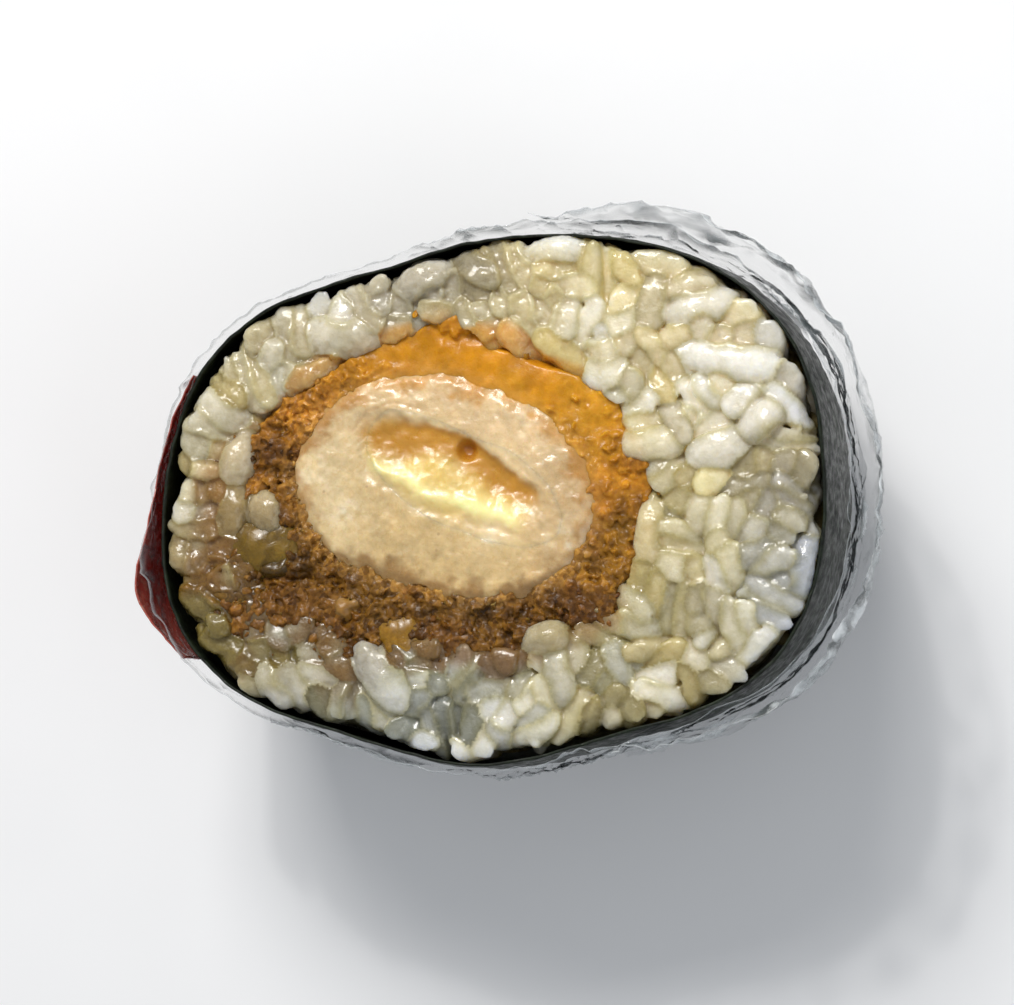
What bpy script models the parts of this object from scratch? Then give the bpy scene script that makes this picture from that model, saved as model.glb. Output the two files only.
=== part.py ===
"""One half of a cut onigirazu, a rice sandwich wrapped in nori and cling film.

It stands on its folded outer end with the cut face up. Metres, +Z up out of
the cut face, +X along the wide side of the cut, origin at the middle of the
resting face. Every piece is nested in the next like a cup: cheese in cutlet
meat, meat in its crumb coating, coating in the rice, rice in the nori, nori in
the film, and a strip of red tape on the outside of the film.
"""

import math

import bmesh
import bpy

MM = 0.001

# ---- overall sizes ---------------------------------------------------------
DEPTH = 42.0 * MM  # resting face to cut face
BASE_INSET = 11.0 * MM  # how far the outer end is drawn in at the resting face
ROUND_HEIGHT = 19.0 * MM  # height over which the outer end rounds in
WAIST = 0.9 * MM  # how far the wall swells between the cut and the outer end

# ---- layers of the wrap ----------------------------------------------------
GAP = 0.3 * MM
NORI = 0.5 * MM
FILM = 0.35 * MM
TAPE = 0.3 * MM
NORI_RISE = 0.4 * MM  # nori edge above the cut
FILM_RISE = 1.3 * MM  # film edge above the cut
RIGHT_FLARE = 3.6 * MM  # loose film at the right of the cut
TAPE_FLARE = 2.2 * MM  # film and tape standing off at the left of the cut
FLARE_DEPTH = 20.0 * MM

# ---- outlines at the cut face: mean radius, centre, (order, size, phase) ---
RICE = (35.1 * MM, (0.0, 0.0), ((1, 0.8, -6), (2, 5.6, 12), (3, 0.6, -175), (5, 0.4, -102), (6, 0.65, 178)))
COATING = (21.2 * MM, (-4.3 * MM, 0.9 * MM), ((2, 3.1, -10), (3, 0.6, -125), (4, 0.2, 49), (5, 0.4, 67)))
MEAT = (15.4 * MM, (-4.4 * MM, 1.4 * MM), ((2, 2.9, -29), (3, 0.3, -114), (4, 0.2, -5)))
CHEESE = (13.2 * MM, 5.4 * MM, (-1.8 * MM, 2.2 * MM), -29.0)  # half axes, centre, tilt
POCKET = (11.6 * MM, 2.4 * MM, (-2.5 * MM, 3.5 * MM), -29.0)

# ---- how far each filling runs down from the cut --------------------------
COATING_RUN = 34.0 * MM
MEAT_RUN = 30.5 * MM
CHEESE_RUN = 25.0 * MM
POCKET_RUN = 9.0 * MM

# how a filling narrows towards its hidden end: (share of its run, inset)
PLUMP = ((0.45, 0.2 * MM), (0.78, 1.2 * MM), (0.94, 3.5 * MM), (1.0, 7.0 * MM))
SLIM = ((0.45, 0.1 * MM), (0.78, 0.5 * MM), (0.94, 1.5 * MM), (1.0, 3.2 * MM))

OUTER_SIDES = 56
COATING_SIDES = 42
MEAT_SIDES = 36
CHEESE_SIDES = 28


def wavy(spec):
    """Radius and centre of a closed outline with a few slow waves in it."""
    mean, centre, waves = spec

    def point(a, inset=0.0):
        r = mean - inset
        for order, size, phase in waves:
            r += size * MM * math.cos(order * a - math.radians(phase))
        return centre[0] + r * math.cos(a), centre[1] + r * math.sin(a)

    return point


def oval(spec):
    """A tilted ellipse, taken in by inset."""
    long_half, short_half, centre, tilt = spec
    c, s = math.cos(math.radians(tilt)), math.sin(math.radians(tilt))

    def point(a, inset=0.0):
        u = (long_half - inset) * math.cos(a)
        v = (short_half - inset) * math.sin(a)
        return centre[0] + u * c - v * s, centre[1] + u * s + v * c

    return point


RICE_LINE, COATING_LINE, MEAT_LINE = wavy(RICE), wavy(COATING), wavy(MEAT)
CHEESE_LINE, POCKET_LINE = oval(CHEESE), oval(POCKET)


def smooth(x):
    x = max(0.0, min(1.0, x))
    return x * x * (3 - 2 * x)


def bumps(x, y):
    """Unevenness of packed rice at the cut, between -1 and 1."""
    return (
        math.sin(x * 930 + 1.3) * math.cos(y * 870 - 0.6)
        + 0.7 * math.sin(x * 610 - y * 720 + 2.1)
        + 0.5 * math.cos(x * 1310 + y * 1180)
    ) / 2.2


def wall_path():
    """(inset, height) up the outside of the rice, from the resting end to the cut."""
    low = GAP + NORI + GAP + FILM
    path = []
    for k in range(6):
        t = math.radians(90 * k / 5)
        path.append(
            (
                BASE_INSET * (1 - math.sin(t) ** 0.9),
                low + ROUND_HEIGHT * (1 - math.cos(t)),
            )
        )
    top = path[-1][1]
    for k in range(1, 5):
        t = k / 4
        path.append((-WAIST * math.sin(math.pi * t) * 0.8, top + (DEPTH - top) * t))
    return path


def offset(path, by):
    """The path moved outwards by a distance, square to itself."""
    moved = []
    for k, (inset, z) in enumerate(path):
        if k == 0:
            moved.append((inset - by * 0.35, z - by))
            continue
        a, b = path[k - 1], path[min(k + 1, len(path) - 1)]
        dr, dz = -(b[0] - a[0]), b[1] - a[1]
        n = math.hypot(dr, dz)
        moved.append((inset - by * dz / n, z - by * dr / n))
    return moved


def flare(a, z):
    """How far the loose film stands off near the cut, by direction and height."""

    def near(centre, width):
        d = (math.degrees(a) - centre + 180) % 360 - 180
        return math.exp(-((d / width) ** 2))

    share = smooth((z - (DEPTH - FLARE_DEPTH)) / FLARE_DEPTH)
    return share * (RIGHT_FLARE * near(4, 30) + TAPE_FLARE * near(192, 17))


def rim_wave(a):
    return 0.45 * MM * (
        math.sin(5 * a + 0.4) + 0.6 * math.sin(11 * a + 2.0) + 0.3 * math.sin(17 * a)
    )


def material(name, colour, roughness, metallic=0.0, alpha=1.0):
    mat = bpy.data.materials.new(name)
    mat.use_nodes = True
    shader = mat.node_tree.nodes["Principled BSDF"]
    shader.inputs["Base Color"].default_value = (*colour, 1.0)
    shader.inputs["Roughness"].default_value = roughness
    shader.inputs["Metallic"].default_value = metallic
    shader.inputs["Alpha"].default_value = alpha
    return mat


def lathe(name, sides, rings, closed_top, mat, parent, collection):
    """A cylinder whose rings are moved to the given places, a function of the angle each.

    The first ring's face is kept as the lower end. The last ring's face is the
    bottom of the inner hollow, or is removed to leave an open cup."""
    bm = bmesh.new()
    bmesh.ops.create_cone(
        bm, cap_ends=True, segments=sides, radius1=1, radius2=1, depth=1
    )
    uprights = [e for e in bm.edges if abs(e.verts[0].co.z - e.verts[1].co.z) > 0.5]
    bmesh.ops.subdivide_edges(
        bm, edges=uprights, cuts=len(rings) - 2, use_grid_fill=True
    )
    if not closed_top:
        lid = [f for f in bm.faces if all(v.co.z > 0.499 for v in f.verts)]
        bmesh.ops.delete(bm, geom=lid, context="FACES_ONLY")
    for v in bm.verts:
        k = round((v.co.z + 0.5) * (len(rings) - 1))
        a = math.atan2(v.co.y, v.co.x)
        v.co = rings[k](a)
    mesh = bpy.data.meshes.new(name)
    bm.to_mesh(mesh)
    bm.free()
    mesh.shade_smooth()
    mesh.set_sharp_from_angle(angle=math.radians(50))
    mesh.materials.append(mat)
    obj = bpy.data.objects.new(name, mesh)
    collection.objects.link(obj)
    obj.parent = parent
    return obj


def solidify(obj, thickness):
    mod = obj.modifiers.new("thickness", "SOLIDIFY")
    mod.thickness = thickness
    mod.offset = 1.0
    mod.use_even_offset = True
    return mod


def ring(line, inset, z, lift=None):
    """One ring of an outline at a height, with an optional rise by place."""

    def at(a):
        x, y = line(a, inset)
        return x, y, z + (lift(x, y, a) if lift else 0.0)

    return at


def end_rings(line, run, narrowing, gap=0.0):
    """Rings down to a filling's hidden end, or down the hollow that holds it with a gap."""
    return [
        ring(line, inset - gap, DEPTH - run * share - gap)
        for share, inset in narrowing
    ]


def between(outer, inner, t, z, lift):
    """A ring a share t of the way from one outline to another, on the cut face."""

    def at(a):
        xo, yo = outer(a)
        xi, yi = inner(a)
        x, y = xo + (xi - xo) * t, yo + (yi - yo) * t
        return x, y, z + lift(x, y)

    return at


def make_rice(mat, parent, collection):
    rings = [ring(RICE_LINE, inset, z) for inset, z in wall_path()[:-1]]
    crumbly = lambda x, y: 0.7 * MM * bumps(x, y) - 0.5 * MM
    rings.append(
        lambda a: (
            *RICE_LINE(a, 0.35 * MM + 0.35 * MM * math.sin(23 * a)),
            DEPTH - 1.4 * MM + 0.3 * MM * math.sin(13 * a),
        )
    )
    hole = lambda a: COATING_LINE(a, -GAP)
    rim = lambda a: RICE_LINE(a, 1.3 * MM)
    for k in range(4):
        rings.append(between(rim, hole, k / 4, DEPTH, crumbly))
    rings.append(ring(COATING_LINE, -GAP, DEPTH - 0.9 * MM))
    rings += end_rings(COATING_LINE, COATING_RUN, PLUMP, GAP)
    return lathe("rice", OUTER_SIDES, rings, True, mat, parent, collection)


def make_filling(name, sides, outside, inside, mat, parent, collection):
    """A filling that stands in the one outside it, with a hollow for the next.

    Each side is its outline, its run down from the cut and how it narrows."""
    line, run, narrowing = outside
    hollow, hollow_run, hollow_narrowing = inside
    rings = end_rings(line, run, narrowing)[::-1]
    rings.append(ring(line, 0.0, DEPTH - 0.9 * MM))
    inner = lambda a: hollow(a, -GAP)
    outer = lambda a: line(a, 0.5 * MM)
    dome = lambda x, y: 0.25 * MM * bumps(x * 1.7, y * 1.7) - 0.2 * MM
    rings.append(between(outer, inner, 0.0, DEPTH, dome))
    rings.append(between(outer, inner, 0.5, DEPTH, dome))
    rings.append(ring(hollow, -GAP, DEPTH - 0.9 * MM))
    rings += end_rings(hollow, hollow_run, hollow_narrowing, GAP)
    return lathe(name, sides, rings, True, mat, parent, collection)


def make_cheese(mat, parent, collection):
    rings = end_rings(CHEESE_LINE, CHEESE_RUN, SLIM)[::-1] + [
        ring(CHEESE_LINE, 0.0, DEPTH - 0.9 * MM),
        ring(CHEESE_LINE, 0.4 * MM, DEPTH - 0.2 * MM),
        ring(POCKET_LINE, 0.0, DEPTH - 0.4 * MM),
        ring(POCKET_LINE, 0.5 * MM, DEPTH - POCKET_RUN * 0.6),
        ring(POCKET_LINE, 1.5 * MM, DEPTH - POCKET_RUN),
    ]
    return lathe("cheese", CHEESE_SIDES, rings, True, mat, parent, collection)


def make_wrap(name, by, rise, loose, thickness, mat, parent, collection):
    """The nori or the film: an open cup that follows the rice at a distance."""
    path = offset(wall_path(), by)
    rings = []
    for k, (inset, z) in enumerate(path):
        last = k == len(path) - 1

        def at(a, inset=inset, z=z, last=last):
            top = z + (rise + rim_wave(a) * (0.8 if loose else 0.35) if last else 0.0)
            out = flare(a, top) if loose else 0.0
            x, y = RICE_LINE(a, inset - out)
            return x, y, top

        rings.append(at)
    obj = lathe(name, OUTER_SIDES, rings, False, mat, parent, collection)
    solidify(obj, thickness)
    return obj


def make_tape(mat, parent, collection):
    """The strip of red tape on the film at the left, from above the cut downwards."""
    across, down = 12, 7
    first, last = math.radians(157), math.radians(207)
    length = 24.0 * MM
    bm = bmesh.new()
    bmesh.ops.create_grid(bm, x_segments=across, y_segments=down, size=0.5)
    by = 2 * GAP + NORI + FILM + GAP
    path = offset(wall_path(), by)
    heights = [z for _, z in path]
    for v in bm.verts:
        a = first + (last - first) * (v.co.x + 0.5)
        z = DEPTH + 0.9 * MM - length * (0.5 - v.co.y)
        k = 0
        while k < len(heights) - 2 and heights[k + 1] < z:
            k += 1
        t = max(0.0, min(1.0, (z - heights[k]) / (heights[k + 1] - heights[k])))
        inset = path[k][0] + (path[k + 1][0] - path[k][0]) * t
        x, y = RICE_LINE(a, inset - flare(a, z) - 0.15 * MM)
        v.co = x, y, z
    for f in bm.faces:
        f.normal_update()
    centre = bm.faces[:][len(bm.faces) // 2]
    if centre.normal.x > 0:
        bmesh.ops.reverse_faces(bm, faces=bm.faces[:])
    mesh = bpy.data.meshes.new("tape")
    bm.to_mesh(mesh)
    bm.free()
    mesh.shade_smooth()
    mesh.materials.append(mat)
    obj = bpy.data.objects.new("tape", mesh)
    collection.objects.link(obj)
    obj.parent = parent
    solidify(obj, TAPE)
    return obj


def main():
    for obj in list(bpy.data.objects):
        bpy.data.objects.remove(obj)
    collection = bpy.data.collections.new("onigirazu_half")
    bpy.context.scene.collection.children.link(collection)
    frame = bpy.data.objects.new("onigirazu_frame", None)
    collection.objects.link(frame)

    rice = material("rice", (0.72, 0.68, 0.54), 0.35)
    crumb = material("coating", (0.42, 0.20, 0.05), 0.6)
    meat = material("meat", (0.78, 0.62, 0.38), 0.4)
    cheese = material("cheese", (0.85, 0.68, 0.26), 0.3)
    nori = material("nori", (0.012, 0.016, 0.010), 0.45)
    film = material("film", (0.85, 0.88, 0.90), 0.1, alpha=0.25)
    tape = material("tape", (0.42, 0.05, 0.04), 0.3)

    made = [
        make_rice(rice, frame, collection),
        make_filling(
            "coating",
            COATING_SIDES,
            (COATING_LINE, COATING_RUN, PLUMP),
            (MEAT_LINE, MEAT_RUN, PLUMP),
            crumb,
            frame,
            collection,
        ),
        make_filling(
            "meat",
            MEAT_SIDES,
            (MEAT_LINE, MEAT_RUN, PLUMP),
            (CHEESE_LINE, CHEESE_RUN, SLIM),
            meat,
            frame,
            collection,
        ),
        make_cheese(cheese, frame, collection),
        make_wrap("nori", GAP, NORI_RISE, False, NORI, nori, frame, collection),
        make_wrap("film", 2 * GAP + NORI, FILM_RISE, True, FILM, film, frame, collection),
        make_tape(tape, frame, collection),
    ]

    # the wrap isn't even all round, so the whole is centred over the origin
    bpy.context.view_layer.update()
    graph = bpy.context.evaluated_depsgraph_get()
    low, high = [1e9] * 3, [-1e9] * 3
    for obj in made:
        mesh = obj.evaluated_get(graph).to_mesh()
        for v in mesh.vertices:
            low = [min(p, q) for p, q in zip(low, v.co)]
            high = [max(p, q) for p, q in zip(high, v.co)]
        obj.evaluated_get(graph).to_mesh_clear()
    frame.location = (-(low[0] + high[0]) / 2, -(low[1] + high[1]) / 2, -low[2])


main()
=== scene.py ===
"""Looks of the onigirazu half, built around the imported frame."""

import math

import bpy
import numpy as np
from mathutils import Matrix, Vector


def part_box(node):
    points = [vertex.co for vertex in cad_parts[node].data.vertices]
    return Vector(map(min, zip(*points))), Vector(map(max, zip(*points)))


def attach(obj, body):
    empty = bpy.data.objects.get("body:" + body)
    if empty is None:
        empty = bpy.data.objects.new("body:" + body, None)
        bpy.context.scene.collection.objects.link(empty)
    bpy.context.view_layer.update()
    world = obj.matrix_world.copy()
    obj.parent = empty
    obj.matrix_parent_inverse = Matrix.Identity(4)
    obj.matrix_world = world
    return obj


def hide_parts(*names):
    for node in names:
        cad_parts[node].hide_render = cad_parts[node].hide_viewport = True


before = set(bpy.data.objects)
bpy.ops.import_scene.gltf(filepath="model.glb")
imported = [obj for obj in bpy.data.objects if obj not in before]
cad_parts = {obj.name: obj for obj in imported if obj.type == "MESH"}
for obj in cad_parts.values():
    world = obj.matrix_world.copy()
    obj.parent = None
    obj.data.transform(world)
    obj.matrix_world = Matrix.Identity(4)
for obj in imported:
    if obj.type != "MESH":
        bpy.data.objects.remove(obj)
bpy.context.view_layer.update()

# ---------------------------------------------------------------------------
# The construction's sizes, in millimetres, as the CAD has them
# ---------------------------------------------------------------------------
H = 42.0  # cut face
BASE_INSET, ROUND_HEIGHT, WAIST = 11.0, 19.0, 0.9
GAP, NORI, FILM = 0.3, 0.5, 0.35
RIGHT_FLARE, TAPE_FLARE, FLARE_DEPTH = 2.4, 1.3, 20.0

RICE = (35.1, (0.0, 0.0), ((1, 0.8, -6), (2, 5.6, 12), (3, 0.6, -175), (5, 0.4, -102), (6, 0.65, 178)))
COATING = (21.2, (-4.3, 0.9), ((2, 3.1, -10), (3, 0.6, -125), (4, 0.2, 49), (5, 0.4, 67)))
MEAT = (15.4, (-4.4, 1.4), ((2, 2.9, -29), (3, 0.3, -114), (4, 0.2, -5)))
CHEESE = (13.2, 5.4, (-1.8, 2.2), -29.0)
POCKET = (11.6, 2.4, (-2.5, 3.5), -29.0)
COATING_RUN, MEAT_RUN, CHEESE_RUN, POCKET_RUN = 34.0, 30.5, 25.0, 9.0


class Wavy:
    """A closed outline with a few slow waves in it, polar about its centre."""

    def __init__(self, spec):
        self.mean, self.centre, self.waves = spec

    def radius(self, a, inset=0.0):
        r = self.mean - inset + 0.0 * a
        for order, size, phase in self.waves:
            r = r + size * np.cos(order * a - math.radians(phase))
        return r

    def at(self, a, inset=0.0):
        r = self.radius(a, inset)
        return self.centre[0] + r * np.cos(a), self.centre[1] + r * np.sin(a)

    def beyond(self, x, y):
        """How far outside the outline a point lies, less than nothing inside, and its direction."""
        dx, dy = x - self.centre[0], y - self.centre[1]
        a = np.arctan2(dy, dx)
        return np.hypot(dx, dy) - self.radius(a), a


class Pressed(Wavy):
    """The rice's outline, a little shorter at its left end than the smooth one."""

    def radius(self, a, inset=0.0):
        d = (np.degrees(a) - 188 + 180) % 360 - 180
        return super().radius(a, inset) - 1.6 * np.exp(-((d / 26) ** 2))


class Oval:
    """A tilted ellipse."""

    def __init__(self, spec):
        self.long, self.short, self.centre, tilt = spec
        self.c, self.s = math.cos(math.radians(tilt)), math.sin(math.radians(tilt))

    def at(self, a, inset=0.0):
        u, v = (self.long - inset) * np.cos(a), (self.short - inset) * np.sin(a)
        return (
            self.centre[0] + u * self.c - v * self.s,
            self.centre[1] + u * self.s + v * self.c,
        )

    def own(self, x, y):
        """A point along and across the ellipse, as shares of its half axes."""
        dx, dy = x - self.centre[0], y - self.centre[1]
        return (
            (dx * self.c + dy * self.s) / self.long,
            (-dx * self.s + dy * self.c) / self.short,
        )


rice_line, coating_line, meat_line = Pressed(RICE), Wavy(COATING), Wavy(MEAT)
cheese_line, pocket_line = Oval(CHEESE), Oval(POCKET)

# the CAD centres the whole over the origin: the shift is read from the frame
_turn = np.linspace(0, 2 * math.pi, 720, endpoint=False)
_x, _y = coating_line.at(_turn)
_lo, _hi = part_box("coating")
SHIFT = np.array(
    [
        (_lo.x + _hi.x) * 500 - (_x.min() + _x.max()) / 2,
        (_lo.y + _hi.y) * 500 - (_y.min() + _y.max()) / 2,
        _hi.z * 1000 - H,
    ]
)
SHIFT[2] = 0.0 if abs(SHIFT[2]) < 0.3 else SHIFT[2]


# ---------------------------------------------------------------------------
# Helpers
# ---------------------------------------------------------------------------
def smooth(x, lo=0.0, hi=1.0):
    t = np.clip((x - lo) / (hi - lo), 0.0, 1.0)
    return t * t * (3 - 2 * t)


def linear(r, g, b):
    """Linear colour from the 0 to 255 values a screen shows."""
    c = np.array([r, g, b], float) / 255
    return np.where(c <= 0.04045, c / 12.92, ((c + 0.055) / 1.055) ** 2.4)


class Noise:
    """Smooth seeded noise between -1 and 1, in millimetres."""

    def __init__(self, seed, n=48):
        self.n = n
        self.grid = np.random.default_rng(seed).uniform(-1, 1, (n, n, n)).astype(np.float32)

    def __call__(self, p, size):
        q = np.asarray(p, float) / size + 7.31
        i = np.floor(q).astype(int)
        f = q - i
        f = f * f * f * (f * (f * 6 - 15) + 10)
        i %= self.n
        j = (i + 1) % self.n
        g = self.grid
        x0, y0, z0 = i[..., 0], i[..., 1], i[..., 2]
        x1, y1, z1 = j[..., 0], j[..., 1], j[..., 2]
        fx, fy, fz = f[..., 0], f[..., 1], f[..., 2]
        c00 = g[x0, y0, z0] * (1 - fx) + g[x1, y0, z0] * fx
        c10 = g[x0, y1, z0] * (1 - fx) + g[x1, y1, z0] * fx
        c01 = g[x0, y0, z1] * (1 - fx) + g[x1, y0, z1] * fx
        c11 = g[x0, y1, z1] * (1 - fx) + g[x1, y1, z1] * fx
        return 1.4 * ((c00 * (1 - fy) + c10 * fy) * (1 - fz) + (c01 * (1 - fy) + c11 * fy) * fz)

    def layers(self, p, size, count=3, fade=0.5):
        total, weight = 0.0, 1.0
        for k in range(count):
            total = total + weight * self(p, size / 2**k)
            weight *= fade
        return total

    def ridged(self, p, size, count=3, fade=0.55):
        total, weight = 0.0, 1.0
        for k in range(count):
            total = total + weight * (1 - 2 * np.abs(self(p, size / 2**k)))
            weight *= fade
        return total


def flat(x, y, z=0.0):
    """Points from separate coordinates."""
    return np.stack(np.broadcast_arrays(x, y, z), -1)


COLLECTION = bpy.data.collections.new("onigirazu_looks")
bpy.context.scene.collection.children.link(COLLECTION)


def new_object(name, verts, faces, scale=0.001, shift=True):
    """A mesh object from points in millimetres of the construction."""
    verts = np.asarray(verts, float)
    if shift:
        verts = verts + SHIFT
    mesh = bpy.data.meshes.new(name)
    mesh.from_pydata((verts * scale).tolist(), [], faces)
    mesh.update()
    obj = bpy.data.objects.new(name, mesh)
    COLLECTION.objects.link(obj)
    return obj


def paint(obj, name, values):
    """A named colour for each point of a mesh, for its material to read."""
    values = np.asarray(values, float)
    if values.ndim == 1:
        values = np.repeat(values[:, None], 3, 1)
    rgba = np.ones((len(values), 4), np.float32)
    rgba[:, :3] = np.clip(values, 0, 1)
    layer = obj.data.color_attributes.new(name, "FLOAT_COLOR", "POINT")
    layer.data.foreach_set("color", rgba.ravel())


def points_of(mesh):
    co = np.empty(len(mesh.vertices) * 3, np.float32)
    mesh.vertices.foreach_get("co", co)
    return co.reshape(-1, 3).astype(float)


def put_points(mesh, co):
    mesh.vertices.foreach_set("co", np.ascontiguousarray(co, np.float32).ravel())
    mesh.update()


def relax(mesh, rounds, step=0.5):
    """Evens out a mesh a little, towards the middle of each point's neighbours."""
    co = points_of(mesh)
    edges = np.empty(len(mesh.edges) * 2, np.int32)
    mesh.edges.foreach_get("vertices", edges)
    a, b = edges.reshape(-1, 2).T
    count = np.bincount(a, minlength=len(co)) + np.bincount(b, minlength=len(co))
    for k in range(rounds):
        total = np.zeros_like(co)
        for axis in range(3):
            total[:, axis] = np.bincount(a, co[b, axis], len(co)) + np.bincount(
                b, co[a, axis], len(co)
            )
        co += (total / np.maximum(count, 1)[:, None] - co) * step
    put_points(mesh, co)


def evaluated(obj):
    """The object's mesh with its modifiers applied, which it then takes."""
    graph = bpy.context.evaluated_depsgraph_get()
    mesh = bpy.data.meshes.new_from_object(obj.evaluated_get(graph))
    old = obj.data
    obj.modifiers.clear()
    obj.data = mesh
    bpy.data.meshes.remove(old)
    return obj


def normals_of(mesh):
    n = np.empty(len(mesh.vertices) * 3, np.float32)
    mesh.vertices.foreach_get("normal", n)
    return n.reshape(-1, 3).astype(float)


def rings_mesh(rings, close_first=True, close_last=True):
    """Points and faces of a surface through closed rings of equal length."""
    rows, cols = len(rings), len(rings[0])
    verts = np.concatenate([np.asarray(r, float) for r in rings])
    k, i = np.meshgrid(np.arange(rows - 1), np.arange(cols), indexing="ij")
    j = (i + 1) % cols
    quads = np.stack(
        [k * cols + i, k * cols + j, (k + 1) * cols + j, (k + 1) * cols + i], -1
    ).reshape(-1, 4)
    faces = quads.tolist()
    for wanted, row, flip in ((close_first, 0, True), (close_last, rows - 1, False)):
        if wanted:
            centre = verts[row * cols : (row + 1) * cols].mean(0)
            verts = np.vstack([verts, centre])
            c = len(verts) - 1
            for m in range(cols):
                p, q = row * cols + m, row * cols + (m + 1) % cols
                faces.append([q, p, c] if flip else [p, q, c])
    return verts, faces


def smooth_shaded(obj):
    obj.data.shade_smooth()
    return obj


# ---------------------------------------------------------------------------
# Node materials
# ---------------------------------------------------------------------------
class Material:
    """A short way to write node trees."""

    def __init__(self, name):
        self.mat = bpy.data.materials.new(name)
        self.mat.use_nodes = True
        self.tree = self.mat.node_tree
        self.shader = self.tree.nodes["Principled BSDF"]
        self.out = self.tree.nodes["Material Output"]

    def node(self, kind, **inputs):
        n = self.tree.nodes.new(kind)
        for key, value in inputs.items():
            if hasattr(n, key):
                setattr(n, key, value)
        return n

    def link(self, a, b):
        self.tree.links.new(a, b)

    def set(self, **values):
        for key, value in values.items():
            self.shader.inputs[key.replace("_", " ")].default_value = value

    def place(self):
        if not hasattr(self, "_place"):
            self._place = self.tree.nodes.new("ShaderNodeTexCoord").outputs["Object"]
        return self._place

    def stretched(self, scale, rotation=(0, 0, 0)):
        m = self.node("ShaderNodeMapping")
        m.inputs["Scale"].default_value = scale
        m.inputs["Rotation"].default_value = rotation
        self.link(self.place(), m.inputs["Vector"])
        return m.outputs["Vector"]

    def noise(self, size_mm, detail=3.0, rough=0.55, distortion=0.0, vector=None):
        n = self.node("ShaderNodeTexNoise")
        n.inputs["Scale"].default_value = 1000.0 / size_mm
        n.inputs["Detail"].default_value = detail
        n.inputs["Roughness"].default_value = rough
        n.inputs["Distortion"].default_value = distortion
        self.link(vector or self.place(), n.inputs["Vector"])
        return n.outputs["Fac"]

    def cells(self, size_mm, feature="F1", randomness=1.0, vector=None):
        n = self.node("ShaderNodeTexVoronoi", feature=feature)
        n.inputs["Scale"].default_value = 1000.0 / size_mm
        n.inputs["Randomness"].default_value = randomness
        self.link(vector or self.place(), n.inputs["Vector"])
        return n

    def attribute(self, name):
        n = self.node("ShaderNodeAttribute", attribute_name=name)
        return n.outputs["Color"]

    def factor(self, name):
        n = self.node("ShaderNodeAttribute", attribute_name=name)
        return n.outputs["Fac"]

    def ramp(self, value, low, high, to_low=0.0, to_high=1.0):
        n = self.node("ShaderNodeMapRange", interpolation_type="SMOOTHSTEP")
        n.inputs["From Min"].default_value = low
        n.inputs["From Max"].default_value = high
        n.inputs["To Min"].default_value = to_low
        n.inputs["To Max"].default_value = to_high
        self.link(value, n.inputs["Value"])
        return n.outputs["Result"]

    def math(self, operation, a, b=None):
        n = self.node("ShaderNodeMath", operation=operation)
        for socket, value in zip(n.inputs, (a, b)):
            if value is None:
                continue
            if isinstance(value, (int, float)):
                socket.default_value = value
            else:
                self.link(value, socket)
        return n.outputs["Value"]

    def mix(self, factor, a, b, blend="MIX"):
        n = self.node("ShaderNodeMix", data_type="RGBA", blend_type=blend)
        for name, value in (("Factor", factor), ("A", a), ("B", b)):
            socket = next(
                s
                for s in n.inputs
                if s.name == name and s.type == ("VALUE" if name == "Factor" else "RGBA")
            )
            if isinstance(value, (int, float)):
                socket.default_value = value
            elif isinstance(value, (tuple, list, np.ndarray)):
                socket.default_value = (*[float(v) for v in value][:3], 1.0)
            else:
                self.link(value, socket)
        return next(s for s in n.outputs if s.type == "RGBA")

    def bump(self, height, strength, distance_mm, below=None):
        n = self.node("ShaderNodeBump")
        if isinstance(strength, (int, float)):
            n.inputs["Strength"].default_value = strength
        else:
            self.link(strength, n.inputs["Strength"])
        n.inputs["Distance"].default_value = distance_mm / 1000
        self.link(height, n.inputs["Height"])
        if below is not None:
            self.link(below, n.inputs["Normal"])
        return n.outputs["Normal"]


def finish_material(m, colour, roughness=None, normal=None):
    m.link(colour, m.shader.inputs["Base Color"])
    if roughness is not None:
        m.link(roughness, m.shader.inputs["Roughness"])
    if normal is not None:
        m.link(normal, m.shader.inputs["Normal"])
    return m.mat


def rice_material():
    m = Material("rice_look")
    tint = m.attribute("tint")
    cloud = m.ramp(m.noise(2.0, 3), 0.3, 0.7, 0.0, 1.0)
    colour = m.mix(0.35, tint, m.mix(cloud, (0.70, 0.70, 0.58), (1.12, 1.11, 1.09)), "MULTIPLY")
    starch = m.ramp(m.noise(0.7, 3, 0.6), 0.55, 0.76, 0.0, 0.3)
    colour = m.mix(starch, colour, m.mix(1.0, colour, (1.25, 1.25, 1.3), "MULTIPLY"))
    rough = m.ramp(m.noise(0.8, 2), 0.3, 0.7, 0.16, 0.5)
    normal = m.bump(m.noise(0.9, 3), 0.6, 0.2)
    normal = m.bump(m.noise(0.34, 3), 0.7, 0.12, normal)
    m.set(
        Subsurface_Weight=0.9,
        Subsurface_Scale=0.0042,
        Subsurface_Radius=(1.0, 0.9, 0.65),
        Coat_Weight=0.8,
        Coat_Roughness=0.05,
        Coat_IOR=1.42,
        Specular_IOR_Level=0.3,
    )
    return finish_material(m, colour, rough, normal)


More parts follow.
